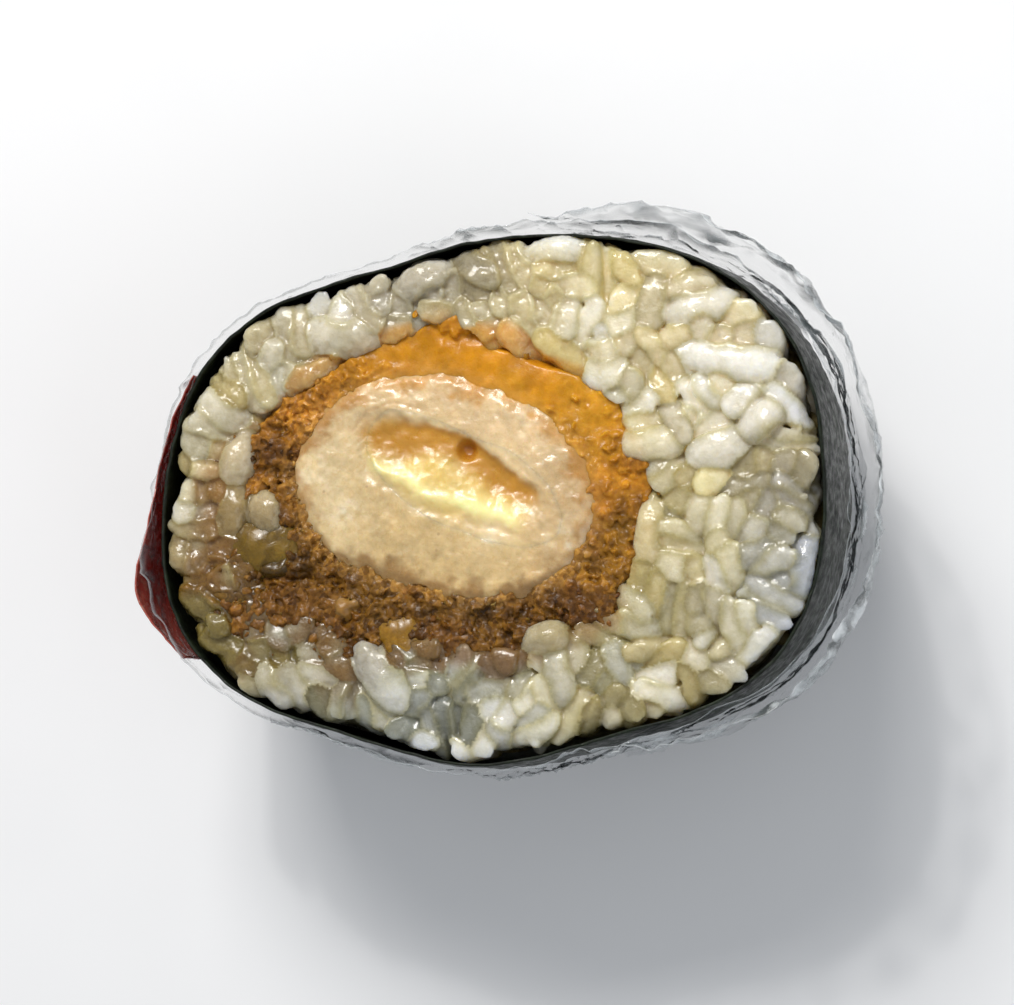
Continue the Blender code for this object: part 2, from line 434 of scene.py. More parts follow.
def crumb_material(name, wet):
    m = Material(name)
    tint = m.attribute("tint")
    crumble = m.factor("crumble")
    grain = m.ramp(m.noise(0.7, 4, 0.65), 0.3, 0.72, 0.0, 1.0)
    full = m.mix(0.8, tint, m.mix(grain, (0.72, 0.64, 0.46), (1.26, 1.24, 1.2)), "MULTIPLY")
    soft = m.mix(0.35, tint, m.mix(m.ramp(m.noise(1.6, 3), 0.3, 0.7), (0.7, 0.62, 0.4), (1.15, 1.12, 1.1)), "MULTIPLY")
    bits = m.ramp(m.cells(0.75).outputs["Color"], 0.2, 0.8)
    full = m.mix(1.0, full, m.mix(bits, (0.66, 0.60, 0.46), (1.34, 1.36, 1.35)), "MULTIPLY")
    colour = m.mix(crumble, soft, full)
    fleck = m.math("MULTIPLY", m.ramp(m.noise(1.5, 3, 0.6, 0.6), 0.58, 0.74, 0.0, 0.5), crumble)
    colour = m.mix(fleck, colour, m.mix(1.0, tint, (0.35, 0.25, 0.15), "MULTIPLY"))
    rough = m.ramp(m.noise(0.5, 2), 0.3, 0.7, 0.2 if wet else 0.3, 0.6)
    normal = m.bump(m.noise(0.6, 4, 0.65), m.ramp(crumble, 0.0, 1.0, 0.2, 0.7), 0.22)
    normal = m.bump(m.noise(0.22, 2), 0.5, 0.07, normal)
    m.set(
        Subsurface_Weight=0.6,
        Subsurface_Scale=0.0015,
        Subsurface_Radius=(1.0, 0.85, 0.5),
        Coat_Weight=0.18,
        Coat_Roughness=0.12,
        Coat_IOR=1.4,
        Specular_IOR_Level=0.2,
    )
    return finish_material(m, colour, rough, normal)


def meat_material():
    m = Material("meat_look")
    tint = m.attribute("tint")
    mottle = m.ramp(m.noise(2.4, 4, 0.6, 0.4), 0.32, 0.7, 0.0, 1.0)
    colour = m.mix(0.5, tint, m.mix(mottle, (0.86, 0.82, 0.72), (1.07, 1.06, 1.04)), "MULTIPLY")
    fine = m.ramp(m.noise(0.6, 3, 0.6), 0.45, 0.7, 0.0, 0.35)
    colour = m.mix(fine, colour, m.mix(1.0, colour, (0.80, 0.72, 0.56), "MULTIPLY"))
    speck = m.cells(1.9)
    dots = m.ramp(speck.outputs["Distance"], 0.05, 0.14, 1.0, 0.0)
    some = m.ramp(speck.outputs["Color"], 0.62, 0.66)
    colour = m.mix(
        m.math("MULTIPLY", m.math("MULTIPLY", dots, some), 0.5), colour, (0.34, 0.19, 0.07)
    )
    rough = m.ramp(m.noise(0.9, 3), 0.3, 0.7, 0.2, 0.5)
    normal = m.bump(m.noise(0.8, 4, 0.6), 0.36, 0.14)
    normal = m.bump(m.noise(0.3, 2), 0.4, 0.06, normal)
    m.set(
        Subsurface_Weight=0.6,
        Subsurface_Scale=0.0012,
        Subsurface_Radius=(1.0, 0.65, 0.35),
        Coat_Weight=0.4,
        Coat_Roughness=0.12,
        Coat_IOR=1.42,
    )
    return finish_material(m, colour, rough, normal)


def cheese_material():
    m = Material("cheese_look")
    tint = m.attribute("tint")
    soft = m.ramp(m.noise(2.4, 4, 0.6, 0.4), 0.3, 0.7, 0.0, 1.0)
    colour = m.mix(0.45, tint, m.mix(soft, (0.88, 0.84, 0.72), (1.06, 1.05, 1.02)), "MULTIPLY")
    rough = m.ramp(m.noise(1.1, 3), 0.3, 0.7, 0.26, 0.5)
    normal = m.bump(m.noise(1.0, 4, 0.6), 0.4, 0.14)
    normal = m.bump(m.noise(0.35, 2), 0.3, 0.06, normal)
    m.set(
        Subsurface_Weight=0.6,
        Subsurface_Scale=0.0014,
        Subsurface_Radius=(1.0, 0.7, 0.35),
        Coat_Weight=0.3,
        Coat_Roughness=0.16,
        Coat_IOR=1.4,
    )
    return finish_material(m, colour, rough, normal)


def nori_material():
    m = Material("nori_look")
    fibre = m.noise(1.4, 5, 0.7, 1.2, m.stretched((1.0, 1.0, 0.35)))
    colour = m.mix(m.ramp(fibre, 0.35, 0.7), (0.0035, 0.005, 0.003), (0.016, 0.024, 0.012))
    thin = m.ramp(m.noise(5.0, 4, 0.65, 0.8), 0.55, 0.75, 0.0, 0.5)
    colour = m.mix(thin, colour, (0.024, 0.030, 0.010))
    rough = m.ramp(m.noise(1.1, 3), 0.3, 0.7, 0.28, 0.6)
    normal = m.bump(m.noise(1.0, 5, 0.7, 0.8), 0.6, 0.22)
    normal = m.bump(m.noise(0.3, 2), 0.4, 0.06, normal)
    m.set(Specular_IOR_Level=0.25)
    return finish_material(m, colour, rough, normal)


def film_material(name="film_look", haze=0.02, crease=0.5):
    """Clear film: see-through by an even share, whiter where it is creased: partly the creased film's own haze, partly
    painted highlights; its streaks and silver band are painted highlights and reflections.
    """
    m = Material(name)
    fold_haze_and_highlight = m.attribute("fold_haze_and_highlight")

    place = m.noise(8.0, 2)

    # painted highlights: thin light streaks running up, along and across the film
    def streaks(size, squash, turn, first, last):
        n = m.noise(size, 2, 0.6, 0.0, m.stretched(squash, turn))
        return m.math("MULTIPLY", m.ramp(n, 0.6, 0.78, 0.0, 1.0), m.ramp(place, first, last))

    upright = streaks(1.5, (1, 1, 0.06), (0.22, 0.12, 0), 0.42, 0.60)
    level = streaks(1.3, (0.06, 0.06, 1), (0.10, 0.13, 0), 0.56, 0.40)
    slant = streaks(1.2, (0.9, 0.9, 0.07), (0.75, -0.5, 0), 0.46, 0.66)
    streak = m.math("MAXIMUM", m.math("MAXIMUM", upright, level), slant)
    shine = m.math("MAXIMUM", m.math("MULTIPLY", streak, 0.6), fold_haze_and_highlight)
    band = m.factor("band")
    ripple = m.noise(2.6, 3, 0.6, 0.0, m.stretched((1.0, 1.0, 0.4), (0.2, 0.15, 0)))
    # painted reflection: a band of silver and dark streaks
    silver_reflection = m.mix(m.ramp(ripple, 0.38, 0.6), (0.05, 0.06, 0.06), (0.82, 0.86, 0.88))
    # painted highlights: the grey-blue film turns near white where it shines
    colour = m.mix(shine, (0.30, 0.36, 0.38), (0.86, 0.90, 0.92))
    colour = m.mix(m.math("MULTIPLY", band, 0.85), colour, silver_reflection)
    alpha = m.math("MAXIMUM", m.ramp(shine, 0.0, 1.0, haze, crease), m.math("MULTIPLY", band, 0.72))
    m.link(alpha, m.shader.inputs["Alpha"])
    rough = m.ramp(m.noise(2.0, 2), 0.3, 0.7, 0.05, 0.16)
    normal = m.bump(m.noise(1.6, 2, 0.6, 0.0, m.stretched((1.0, 1.0, 0.35), (0.2, 0.15, 0))), 0.6, 0.3)
    m.set(IOR=1.5, Specular_IOR_Level=0.6)
    return finish_material(m, colour, rough, normal)


def tape_material():
    m = Material("tape_look")
    worn = m.ramp(m.noise(1.3, 4, 0.7, 0.8), 0.5, 0.72, 0.0, 0.6)
    colour = m.mix(worn, (0.36, 0.075, 0.055), (0.40, 0.23, 0.16))
    pale = m.ramp(m.noise(0.5, 3, 0.6), 0.62, 0.74, 0.0, 0.5)
    colour = m.mix(pale, colour, (0.62, 0.40, 0.30))
    rough = m.ramp(m.noise(1.0, 2), 0.3, 0.7, 0.14, 0.32)
    normal = m.bump(m.noise(1.8, 4, 0.6, 0.8), 0.5, 0.3)
    m.set(Subsurface_Weight=0.2, Subsurface_Scale=0.001, Coat_Weight=0.5, Coat_Roughness=0.08)
    return finish_material(m, colour, rough, normal)


def sauce_material():
    m = Material("sauce_look")
    tint = m.attribute("tint")
    cloud = m.ramp(m.noise(1.8, 4, 0.6, 0.8), 0.3, 0.7)
    colour = m.mix(0.7, tint, m.mix(cloud, (0.55, 0.5, 0.4), (1.35, 1.3, 1.2)), "MULTIPLY")
    rough = m.ramp(m.noise(1.0, 2), 0.3, 0.7, 0.22, 0.45)
    normal = m.bump(m.noise(1.1, 3, 0.6, 0.5), 0.5, 0.3)
    m.set(
        Subsurface_Weight=0.5,
        Subsurface_Scale=0.0016,
        Subsurface_Radius=(1.0, 0.7, 0.2),
        Coat_Weight=0.25,
        Coat_Roughness=0.12,
        Specular_IOR_Level=0.3,
    )
    return finish_material(m, colour, rough, normal)


def floor_material():
    m = Material("floor_look")
    cloud = m.ramp(m.noise(60.0, 2), 0.3, 0.7)
    colour = m.mix(cloud, (0.86, 0.865, 0.875), (0.88, 0.885, 0.895))
    rough = m.ramp(m.noise(12.0, 2), 0.3, 0.7, 0.5, 0.6)
    return finish_material(m, colour, rough)


# ---------------------------------------------------------------------------
# Colour by place on the cut
# ---------------------------------------------------------------------------
blotch = Noise(11)
warp = Noise(12)

# (x, y, reach, colour): the rice goes from white to cream to bluish round the cut; the zones also hold painted light
# and shade: lighter towards the upper right, darker and greyer towards the bottom, with bluish painted shade at the
# right edge
RICE_ZONES = (
    (-24, 17, 10, (182, 169, 137)),
    (-6, 25, 8, (140, 129, 107)),
    (12, 22, 9, (208, 193, 150)),
    (25, 15, 8, (208, 197, 172)),
    (33, 4, 7, (158, 150, 134)),
    (33, -9, 7, (171, 175, 182)),
    (22, -8, 8, (192, 177, 126)),
    (18, -22, 8, (158, 144, 98)),
    (2, -27, 8, (128, 130, 124)),
    (-13, -27, 7, (128, 130, 118)),
    (-29, -21, 8, (117, 102, 50)),
    (-34, 0, 7, (126, 104, 46)),
    (-30, 10, 7, (172, 162, 126)),
)

# (direction, colour, how far it soaks into the rice, how strongly)
SOAK = (
    (-170, (124, 84, 18), 9.5, 0.88),
    (-145, (98, 66, 10), 13.0, 0.93),
    (-120, (116, 80, 16), 8.0, 0.86),
    (-95, (124, 86, 30), 4.5, 0.82),
    (-60, (118, 80, 32), 3.5, 0.78),
    (-30, (150, 106, 40), 2.2, 0.70),
    (0, (190, 140, 56), 1.6, 0.60),
    (35, (206, 145, 36), 1.8, 0.75),
    (75, (212, 145, 30), 1.9, 0.80),
    (115, (208, 148, 46), 1.5, 0.65),
    (150, (168, 120, 54), 2.6, 0.65),
)

# (direction, colour of the coating there)
CRUST = (
    (-165, (126, 88, 30)),
    (-135, (100, 70, 22)),
    (-100, (120, 84, 26)),
    (-70, (108, 75, 24)),
    (-45, (84, 55, 16)),
    (-20, (146, 104, 32)),
    (5, (190, 130, 34)),
    (35, (206, 148, 34)),
    (75, (208, 142, 20)),
    (110, (202, 140, 28)),
    (145, (176, 120, 36)),
    (170, (142, 98, 36)),
)


# (direction, how crumbly the coating is): smooth and soaked along the top, crumbly elsewhere
CRUMBLY = (
    (-170, 0.95), (-135, 1.0), (-90, 1.0), (-45, 1.0), (-28, 0.85), (-10, 0.4), (20, 0.28),
    (50, 0.12), (100, 0.08), (128, 0.3), (152, 0.85),
)


def around(table, column, a):
    """A table's column read at a direction, evenly between its rows and all the way round."""
    angles = np.array([math.radians(row[0]) for row in table])
    first = table[0][column]
    values = np.array(
        [linear(*row[column]) if isinstance(first, tuple) else [row[column]] for row in table]
    )
    angles = np.concatenate([angles[-1:] - 2 * math.pi, angles, angles[:1] + 2 * math.pi])
    values = np.concatenate([values[-1:], values, values[:1]])
    got = np.stack([np.interp(a, angles, values[:, k]) for k in range(values.shape[1])], -1)
    return got if isinstance(first, tuple) else got[..., 0]


# the rice's colour by place, with the zones' painted light and shade included
def rice_colour_and_shade(x, y):
    total, weights = 0.0, 0.02
    for zx, zy, reach, colour in RICE_ZONES:
        w = np.exp(-((x - zx) ** 2 + (y - zy) ** 2) / (reach * 1.2) ** 2)[..., None]
        total = total + w * linear(*colour)
        weights = weights + w
    return (total + 0.02 * linear(205, 198, 170)) / weights


def soaked(colour, x, y, z, amount=1.0):
    """Rice colour with the sauce and oil that soak in from the coating."""
    d, a = coating_line.beyond(x, y)
    p = flat(x, y, z)
    wander = blotch.layers(p, 4.0, 3)
    reach = around(SOAK, 2, a) * (1 + 0.45 * wander)
    strength = around(SOAK, 3, a)
    near = (1 - smooth(d, reach * 0.35, reach)) * strength * amount
    halo = (1 - smooth(d, reach, reach + 5.0)) * 0.30 * amount
    stain = around(SOAK, 1, a)
    pale = np.array([1.0, 0.93, 0.62])
    colour = colour * (1 - halo[..., None] * (1 - pale))
    return colour * (1 - near[..., None]) + stain * near[..., None]


# where the coating's outer edge bulges into the rice or is pressed back: direction, width, size
BULGES = ((92, 7, 1.5), (70, 7, -1.1), (52, 8, -0.9), (30, 9, 0.9), (-22, 8, 0.8), (-52, 9, -0.7),
          (-80, 8, 0.9), (-112, 10, 1.0), (-150, 14, 2.2), (172, 9, 1.3), (140, 10, -0.8))


def edge_wander(a):
    """How far the coating's edge stands out from its even outline, by direction."""
    total = 0.35 * blotch.layers(flat(14 * np.cos(a), 14 * np.sin(a)), 4.0, 2)
    for centre, width, size in BULGES:
        d = (np.degrees(a) - centre + 180) % 360 - 180
        total = total + size * np.exp(-((d / width) ** 2))
    return total


def smeared(x, y):
    """Where the knife smeared the rice into a sticky mass, 0 to 1: most of it along the top."""
    a = np.degrees(np.arctan2(y, x))
    top = np.exp(-(((a - 92) / 46) ** 4))
    left = 0.7 * np.exp(-(((a - 150) / 22) ** 4))
    low = 0.9 * np.exp(-(((a + 150) / 26) ** 4))
    n = blotch.layers(flat(x, y, 3.0), 9.0, 2)
    return np.clip(np.maximum(np.maximum(top, left), low) * (0.85 + 0.5 * n) + 0.25 * n, 0, 1)


# ---------------------------------------------------------------------------
# Rice grains, packed and pressed together
# ---------------------------------------------------------------------------
def grain_shape(sides=14, rows=11):
    """A unit grain: rings from one tip to the other, points (along, across, through)."""
    pts, faces = [(-1.0, 0.0, 0.0)], []
    for k in range(1, rows):
        v = -math.pi / 2 + math.pi * k / rows
        s, c = math.sin(v), math.cos(v) ** 0.82
        for i in range(sides):
            a = 2 * math.pi * i / sides
            pts.append((s, c * math.cos(a), c * math.sin(a)))
    pts.append((1.0, 0.0, 0.0))
    last = len(pts) - 1
    for i in range(sides):
        faces.append((0, 1 + (i + 1) % sides, 1 + i))
        faces.append((last, last - sides + i, last - sides + (i + 1) % sides))
    for k in range(rows - 2):
        for i in range(sides):
            a, b = 1 + k * sides + i, 1 + k * sides + (i + 1) % sides
            faces.append((a, b, b + sides, a + sides))
    return np.array(pts), faces


GRAIN_POINTS, GRAIN_FACES = grain_shape()


def lump_shape():
    """A small rounded lump of 42 points, from a subdivided icosahedron."""
    import bmesh

    bm = bmesh.new()
    bmesh.ops.create_icosphere(bm, subdivisions=2, radius=1.0)
    pts = np.array([v.co for v in bm.verts])
    faces = [[v.index for v in f.verts] for f in bm.faces]
    bm.free()
    return pts, faces


LUMP_POINTS, LUMP_FACES = lump_shape()


def grain_points(centre, axis, up, length, width, depth, bend, taper, seed):
    """One grain's points, plump, a little bent and blunter at one tip."""
    s, y, z = GRAIN_POINTS.T
    rng = np.random.default_rng(seed)
    body = 1 - taper * s - 0.06 * np.cos(3 * s + rng.uniform(0, 6))
    dent = 1 - 0.10 * np.exp(-((s - 0.78) ** 2) / 0.03) * (y > 0)
    side = np.cross(up, axis)
    lx = s * length / 2
    ly = y * width / 2 * body * dent
    lz = z * depth / 2 * body + bend * (1 - s * s)
    lump = 1 + 0.05 * np.sin(4 * s + 3 * y + rng.uniform(0, 6)) * np.cos(2 * z + rng.uniform(0, 6))
    return centre + lx[:, None] * axis + (ly * lump)[:, None] * side + lz[:, None] * up


def closest(c, d, h):
    """Nearest points of every pair of straight cores: their places along both."""
    w = c[:, None] - c[None]
    b = d @ d.T
    e = np.einsum("ik,ijk->ij", d, w)
    f = np.einsum("jk,ijk->ij", d, w)
    den = np.maximum(1 - b * b, 1e-4)
    s = np.clip((b * f - e) / den, -h[:, None], h[:, None])
    t = np.clip(b * s + f, -h[None], h[None])
    s = np.clip(b * t - e, -h[:, None], h[:, None])
    return s, t


def pack_grains(fixed):
    """Places grains in the band between the coating and the nori, just under the cut."""
    rng = np.random.default_rng(20)
    count, low = 520, H - 5.4
    pos, axes = [], []
    while len(pos) < count:
        a, r = rng.uniform(-math.pi, math.pi), math.sqrt(rng.uniform(0, 1)) * 43
        x, y = r * math.cos(a), r * math.sin(a)
        inn, b = coating_line.beyond(x, y)
        if rice_line.beyond(x, y)[0] > -1.2 or inn - edge_wander(b) < 0.8:
            continue
        pos.append((x, y, rng.uniform(low, H - 0.4)))
        v = rng.normal(size=3) * (1, 1, 0.32)
        axes.append(v / np.linalg.norm(v))
    free = len(pos)
    pos += [(g[0], g[1], g[2]) for g in fixed]
    axes += [
        (
            math.cos(math.radians(g[3])) * math.cos(math.radians(g[4])),
            math.sin(math.radians(g[3])) * math.cos(math.radians(g[4])),
            math.sin(math.radians(g[4])),
        )
        for g in fixed
    ]
    c, d = np.array(pos, float), np.array(axes, float)
    n = len(c)
    whole = rng.random(free) < 0.88
    sizes = np.where(whole, rng.normal(6.8, 0.8, free), rng.uniform(3.6, 5.4, free)).clip(3.4, 8.6)
    length = np.concatenate([sizes, [g[5] for g in fixed]])
    width = np.concatenate([rng.normal(3.05, 0.32, free).clip(2.3, 3.9), [g[6] for g in fixed]])
    depth = width * rng.uniform(0.74, 0.92, n)
    r = (width + depth) / 4
    h = length / 2 - r
    loose = (np.arange(n) < free).astype(float)
    margin = rng.uniform(-0.1, 0.8, n)
    # along the lower edge the rice stands back from the nori here and there
    margin = margin + rng.uniform(0, 1.3, n) * near(np.arctan2(c[:, 1], c[:, 0]), -112, 44)
    squeeze = 0.82  # sticky grains press into each other by the rest
    for step in range(150):
        s, t = closest(c, d, h)
        p = c[:, None] + s[..., None] * d[:, None]
        q = c[None] + t[..., None] * d[None]
        gap = p - q
        dist = np.linalg.norm(gap, axis=-1) + 1e-9
        over = (r[:, None] + r[None]) * squeeze - dist
        np.fill_diagonal(over, 0)
        over = np.maximum(over, 0)
        push = gap / dist[..., None] * (over * 0.5)[..., None]
        share = loose[:, None] / np.maximum(loose[:, None] + loose[None], 1)
        push *= 2 * share[..., None]
        move = push.sum(1)
        touching = np.maximum((over > 0).sum(1), 1)
        c += move / np.maximum(touching, 2)[:, None] * 1.3
        turn = (push * s[..., None]).sum(1) / (h * h + 1.5)[:, None]
        turn -= (turn * d).sum(1)[:, None] * d
        d += turn / np.maximum(touching, 2)[:, None] * 1.3 * loose[:, None]
        d[:, 2] *= 0.994
        d /= np.linalg.norm(d, axis=1)[:, None]
        for end in (-1, 0, 1):
            tip = c + d * (h * end)[:, None]
            out, a = rice_line.beyond(tip[:, 0], tip[:, 1])
            fix = np.maximum(out + r * 0.9 + margin, 0) * loose * 0.6
            c[:, 0] -= fix * np.cos(a)
            c[:, 1] -= fix * np.sin(a)
            d[:, 0] -= fix * np.cos(a) * end / (h + 1) * 0.5
            d[:, 1] -= fix * np.sin(a) * end / (h + 1) * 0.5
            inn, a = coating_line.beyond(tip[:, 0], tip[:, 1])
            fix = np.maximum(r * 0.6 - (inn - edge_wander(a)), 0) * loose * 0.6
            c[:, 0] += fix * np.cos(a)
            c[:, 1] += fix * np.sin(a)
            d[:, 0] += fix * np.cos(a) * end / (h + 1) * 0.5
            d[:, 1] += fix * np.sin(a) * end / (h + 1) * 0.5
            over_cut = 0.5 if end == 0 else 1.6  # tips may stick out: the knife takes them off
            high = np.maximum(tip[:, 2] - (H + over_cut - r * 0.9), 0) * loose
            deep = np.maximum(low - tip[:, 2], 0) * loose
            c[:, 2] += (deep - high) * 0.6
            d[:, 2] += (deep - high) * end / (h + 1) * 0.5
        c[:, 2] += 0.035 * loose
        d /= np.linalg.norm(d, axis=1)[:, None]
    return c, d, length, width, depth, free


# (x, y, height of its middle over the cut, direction, tilt, length, width, whiteness, warmth)
NOTABLE = (
    (29.5, 15.6, 0.5, -8, 2, 12.5, 4.2, 1.0, 0.0),
    (33.0, 8.8, 0.7, 40, 20, 5.8, 5.2, 0.75, 0.1),
    (28.3, 5.3, 0.5, 15, -8, 7.6, 4.8, 0.7, 0.15),
    (20.4, 6.1, 0.5, 2, 4, 7.0, 4.1, 0.5, 0.35),
    (20.0, -4.2, 0.2, 84, -6, 7.8, 3.7, 0.3, 0.3),
    (25.8, -2.0, 0.1, 70, 30, 5.2, 4.0, 0.4, 0.5),
    (9.6, -20.9, 0.4, -78, -12, 6.8, 4.2, 0.55, 0.1),
    (7.8, -16.4, 0.4, 10, 8, 5.6, 4.0, 0.3, 0.45),
    (-11.6, -20.8, 0.9, -52, -6, 9.6, 4.6, 0.9, -0.25),
    (8.6, 28.8, 0.1, 4, 4, 8.0, 3.3, 0.8, 0.0),
    (-6.8, 25.8, 0.3, 20, 0, 7.0, 4.0, 0.8, 0.0),
    (-25.0, -21.5, 0.1, -60, -18, 6.4, 3.8, 0.8, 0.0),
    (-19.6, -20.6, 0.1, -20, -6, 6.0, 3.6, 0.7, 0.2),
    (-31.6, 10.8, 0.1, -25, 12, 6.5, 4.6, 0.6, 0.0),
    (-29.6, 4.9, 0.2, 75, 0, 6.8, 4.0, 0.5, 0.2),
    (-30.2, -1.0, 0.1, 84, 0, 7.0, 3.6, 0.2, 0.6),
    (-26.0, -1.8, 0.2, -65, 0, 6.0, 4.2, 0.3, 0.4),
    (26.0, 21.8, 0.1, 12, -4, 8.6, 4.2, 0.5, -0.2),
    (15.0, 14.4, 0.2, 10, 6, 5.6, 4.4, 0.8, 0.1),
    (-17.0, 19.4, 0.1, -4, 2, 9.0, 4.6, 0.8, -0.1),
)


def mask_relax(mesh, weight, rounds):
    """Evens a mesh out where the weight says so."""
    co = points_of(mesh)
    edges = np.empty(len(mesh.edges) * 2, np.int32)
    mesh.edges.foreach_get("vertices", edges)
    a, b = edges.reshape(-1, 2).T
    count = np.bincount(a, minlength=len(co)) + np.bincount(b, minlength=len(co))
    for k in range(rounds):
        total = np.zeros_like(co)
        for axis in range(3):
            total[:, axis] = np.bincount(a, co[b, axis], len(co)) + np.bincount(
                b, co[a, axis], len(co)
            )
        co += (total / np.maximum(count, 1)[:, None] - co) * weight[:, None]
    put_points(mesh, co)


def rice_mass():
    fixed = [(x, y, H + up - 0.9, turn, tilt, l, w) for x, y, up, turn, tilt, l, w, _, _ in NOTABLE]
    c, d, length, width, depth, free = pack_grains(fixed)
    rng = np.random.default_rng(31)
    points, faces, start = [], [], 0

    def add(pts, its_faces):
        nonlocal start, faces
        points.append(pts)
        faces += [tuple(start + i for i in f) for f in its_faces]
        start += len(pts)

    for k in range(len(c)):
        axis = d[k]
        up = np.array([0.0, 0.0, 1.0]) + rng.normal(0, 0.35, 3)
        up -= up.dot(axis) * axis
        if np.linalg.norm(up) < 0.15:
            up = np.cross(axis, (1.0, 0.0, 0.0))
        up /= np.linalg.norm(up)
        flip = 1 if rng.random() < 0.5 else -1
        pts = grain_points(
            c[k], axis * flip, up, length[k] * 1.06, width[k] * 1.08, depth[k] * 1.06,
            rng.uniform(-0.25, 0.45), rng.uniform(0.02, 0.16), int(rng.integers(1 << 30)),
        )
        loose = 1.0 if k < free else 0.4
        pts = pts + loose * np.stack(
            [0.26 * warp(pts + 50 * m, 4.0) + 0.07 * warp(pts + 50 * m, 1.6) for m in range(3)], -1
        )
        for _ in range(1 if k < free else 0):  # neighbours and the knife press flats on it
            w = rng.normal(size=3)
            w /= np.linalg.norm(w)
            reach = (pts - c[k]) @ w
            limit = np.quantile(reach, rng.uniform(0.7, 0.95))
            pts = pts - np.maximum(reach - limit, 0)[:, None] * 0.5 * w
        if k < free:  # the knife presses the highest grains down
            z = pts[:, 2]
            cut = H + rng.uniform(-0.3, 0.9)
            pts[:, 2] = np.where(z > cut, cut + 0.3 * (z - cut), z)
        add(pts, GRAIN_FACES)

    # sticky, broken rice that fills in between, mostly where the knife smeared it
    for _ in range(900):
        a, s = rng.uniform(-math.pi, math.pi), math.sqrt(rng.uniform(0, 1)) * 42
        x, y = s * math.cos(a), s * math.sin(a)
        inn, b = coating_line.beyond(x, y)
        if rice_line.beyond(x, y)[0] > -1.6 or inn - edge_wander(b) < 0.3:
            continue
        soft = float(smeared(x, y))
        if rng.random() > 0.15 + 0.85 * soft:
            continue
        size = rng.uniform(0.7, 1.5)
        pts = LUMP_POINTS * size * rng.uniform(0.75, 1.3, 3)
        pts = pts * (1 + 0.18 * warp(LUMP_POINTS * 2 + 9 * a, 1.2))[:, None]
        add(pts + (x, y, H - 2.1 + 1.75 * soft * rng.uniform(0.6, 1.05) - size * 0.4), LUMP_FACES)

    for _ in range(600):  # starch and slivers stuck on the grains
        a, s = rng.uniform(-math.pi, math.pi), math.sqrt(rng.uniform(0, 1)) * 42
        x, y = s * math.cos(a), s * math.sin(a)
        inn, b = coating_line.beyond(x, y)
        if rice_line.beyond(x, y)[0] > -1.3 or inn - edge_wander(b) < 0.2:
            continue
        size = rng.gamma(5.0, 0.07) + 0.12
        form = LUMP_POINTS * size * rng.uniform(0.5, 1.5, 3)
        form = form * (1 + 0.15 * rng.normal(0, 1, (len(form), 1)).clip(-1.5, 1.5))
        q, _ = np.linalg.qr(rng.normal(size=(3, 3)))
        add(form @ (q * np.sign(np.linalg.det(q))).T + (x, y, H + rng.uniform(-1.3, 0.25)), LUMP_FACES)

    # sticky starch that fills in between the grains, with open pits here and there
    cols, steps = 300, 34
    a = np.linspace(0, 2 * math.pi, cols, endpoint=False)
    xi, yi = coating_line.at(a, 0.4 - edge_wander(a))
    xo, yo = rice_line.at(a, 1.5 + 1.1 * near(a, -112, 44))
    rings = [flat(xi, yi, H - 7.2), flat(*rice_line.at(a, 0.7), H - 7.2), flat(xo, yo, H - 3.4)]
    for k in range(steps + 1):
        t = k / steps
        x, y = xo + (xi - xo) * t, yo + (yi - yo) * t
        p = flat(x, y)
        pit = smooth(warp.layers(p + 44, 4.0, 2), 0.18, 0.55) * (1 - 0.6 * smeared(x, y))
        level = H - 1.4 + 0.9 * smeared(x, y) + 0.40 * warp.layers(p + 8, 2.2, 3) - 1.6 * pit
        level = level - 1.6 * smooth(0.1 - t, 0.0, 0.1)
        rings.append(flat(x, y, level))
    rings.append(rings[0])
    add(*rings_mesh(rings, False, False))

    obj = new_object("rice_grains", np.concatenate(points), faces, scale=1.0, shift=False)
    merge = obj.modifiers.new("seam", "WELD")
    merge.merge_threshold = 0.0001
    fuse = obj.modifiers.new("fuse", "REMESH")
    fuse.mode = "VOXEL"
    fuse.voxel_size = 0.23
    fuse.adaptivity = 0.0
    evaluated(obj)
    co = points_of(obj.data)
    soft = smeared(co[:, 0], co[:, 1])
    mask_relax(obj.data, 0.5 + 0.0 * soft, 3)
    mask_relax(obj.data, 0.5 * soft, 4)
    co = points_of(obj.data)
    n = normals_of(obj.data)
    top = smooth(co[:, 2], H - 4.0, H - 1.5)
    fine = 0.07 * warp.layers(co, 1.2, 3) * (0.8 + 0.9 * soft) + 0.03 * warp(co, 0.5)
    put_points(obj.data, co + n * (fine * top)[:, None])
    thin = obj.modifiers.new("thin", "DECIMATE")
    faces_now = sum(len(p.vertices) - 2 for p in obj.data.polygons)
    thin.ratio = min(1.0, 192000 / faces_now)
    evaluated(obj)

    # how far each point stands out of its surroundings: thin edges and tips get a painted glow, for the light that
    # passes through them, and hollows a painted shade
    co = points_of(obj.data)
    n = normals_of(obj.data)
    mask_relax(obj.data, np.full(len(co), 0.6), 10)
    proud = ((co - points_of(obj.data)) * n).sum(1)
    put_points(obj.data, co)

    # which grain each point is on, and how near it lies to the next
    r = (width + depth) / 4
    h = length / 2 - r
    first = np.empty(len(co), int)
    crease, nearest = np.empty(len(co)), np.empty(len(co))
    for k in range(0, len(co), 4000):
        p = co[k : k + 4000]
        w = p[:, None] - c[None]
        t = np.clip((w * d[None]).sum(-1), -h, h)
        dist = np.linalg.norm(w - t[..., None] * d[None], axis=-1) - r
        two = np.argpartition(dist, 1, axis=1)[:, :2]
        da, db = np.take_along_axis(dist, two, 1).T
        swap = da > db
        two[swap] = two[swap][:, ::-1]
        first[k : k + 4000] = two[:, 0]
        crease[k : k + 4000] = np.abs(db - da)
        nearest[k : k + 4000] = np.minimum(da, db)

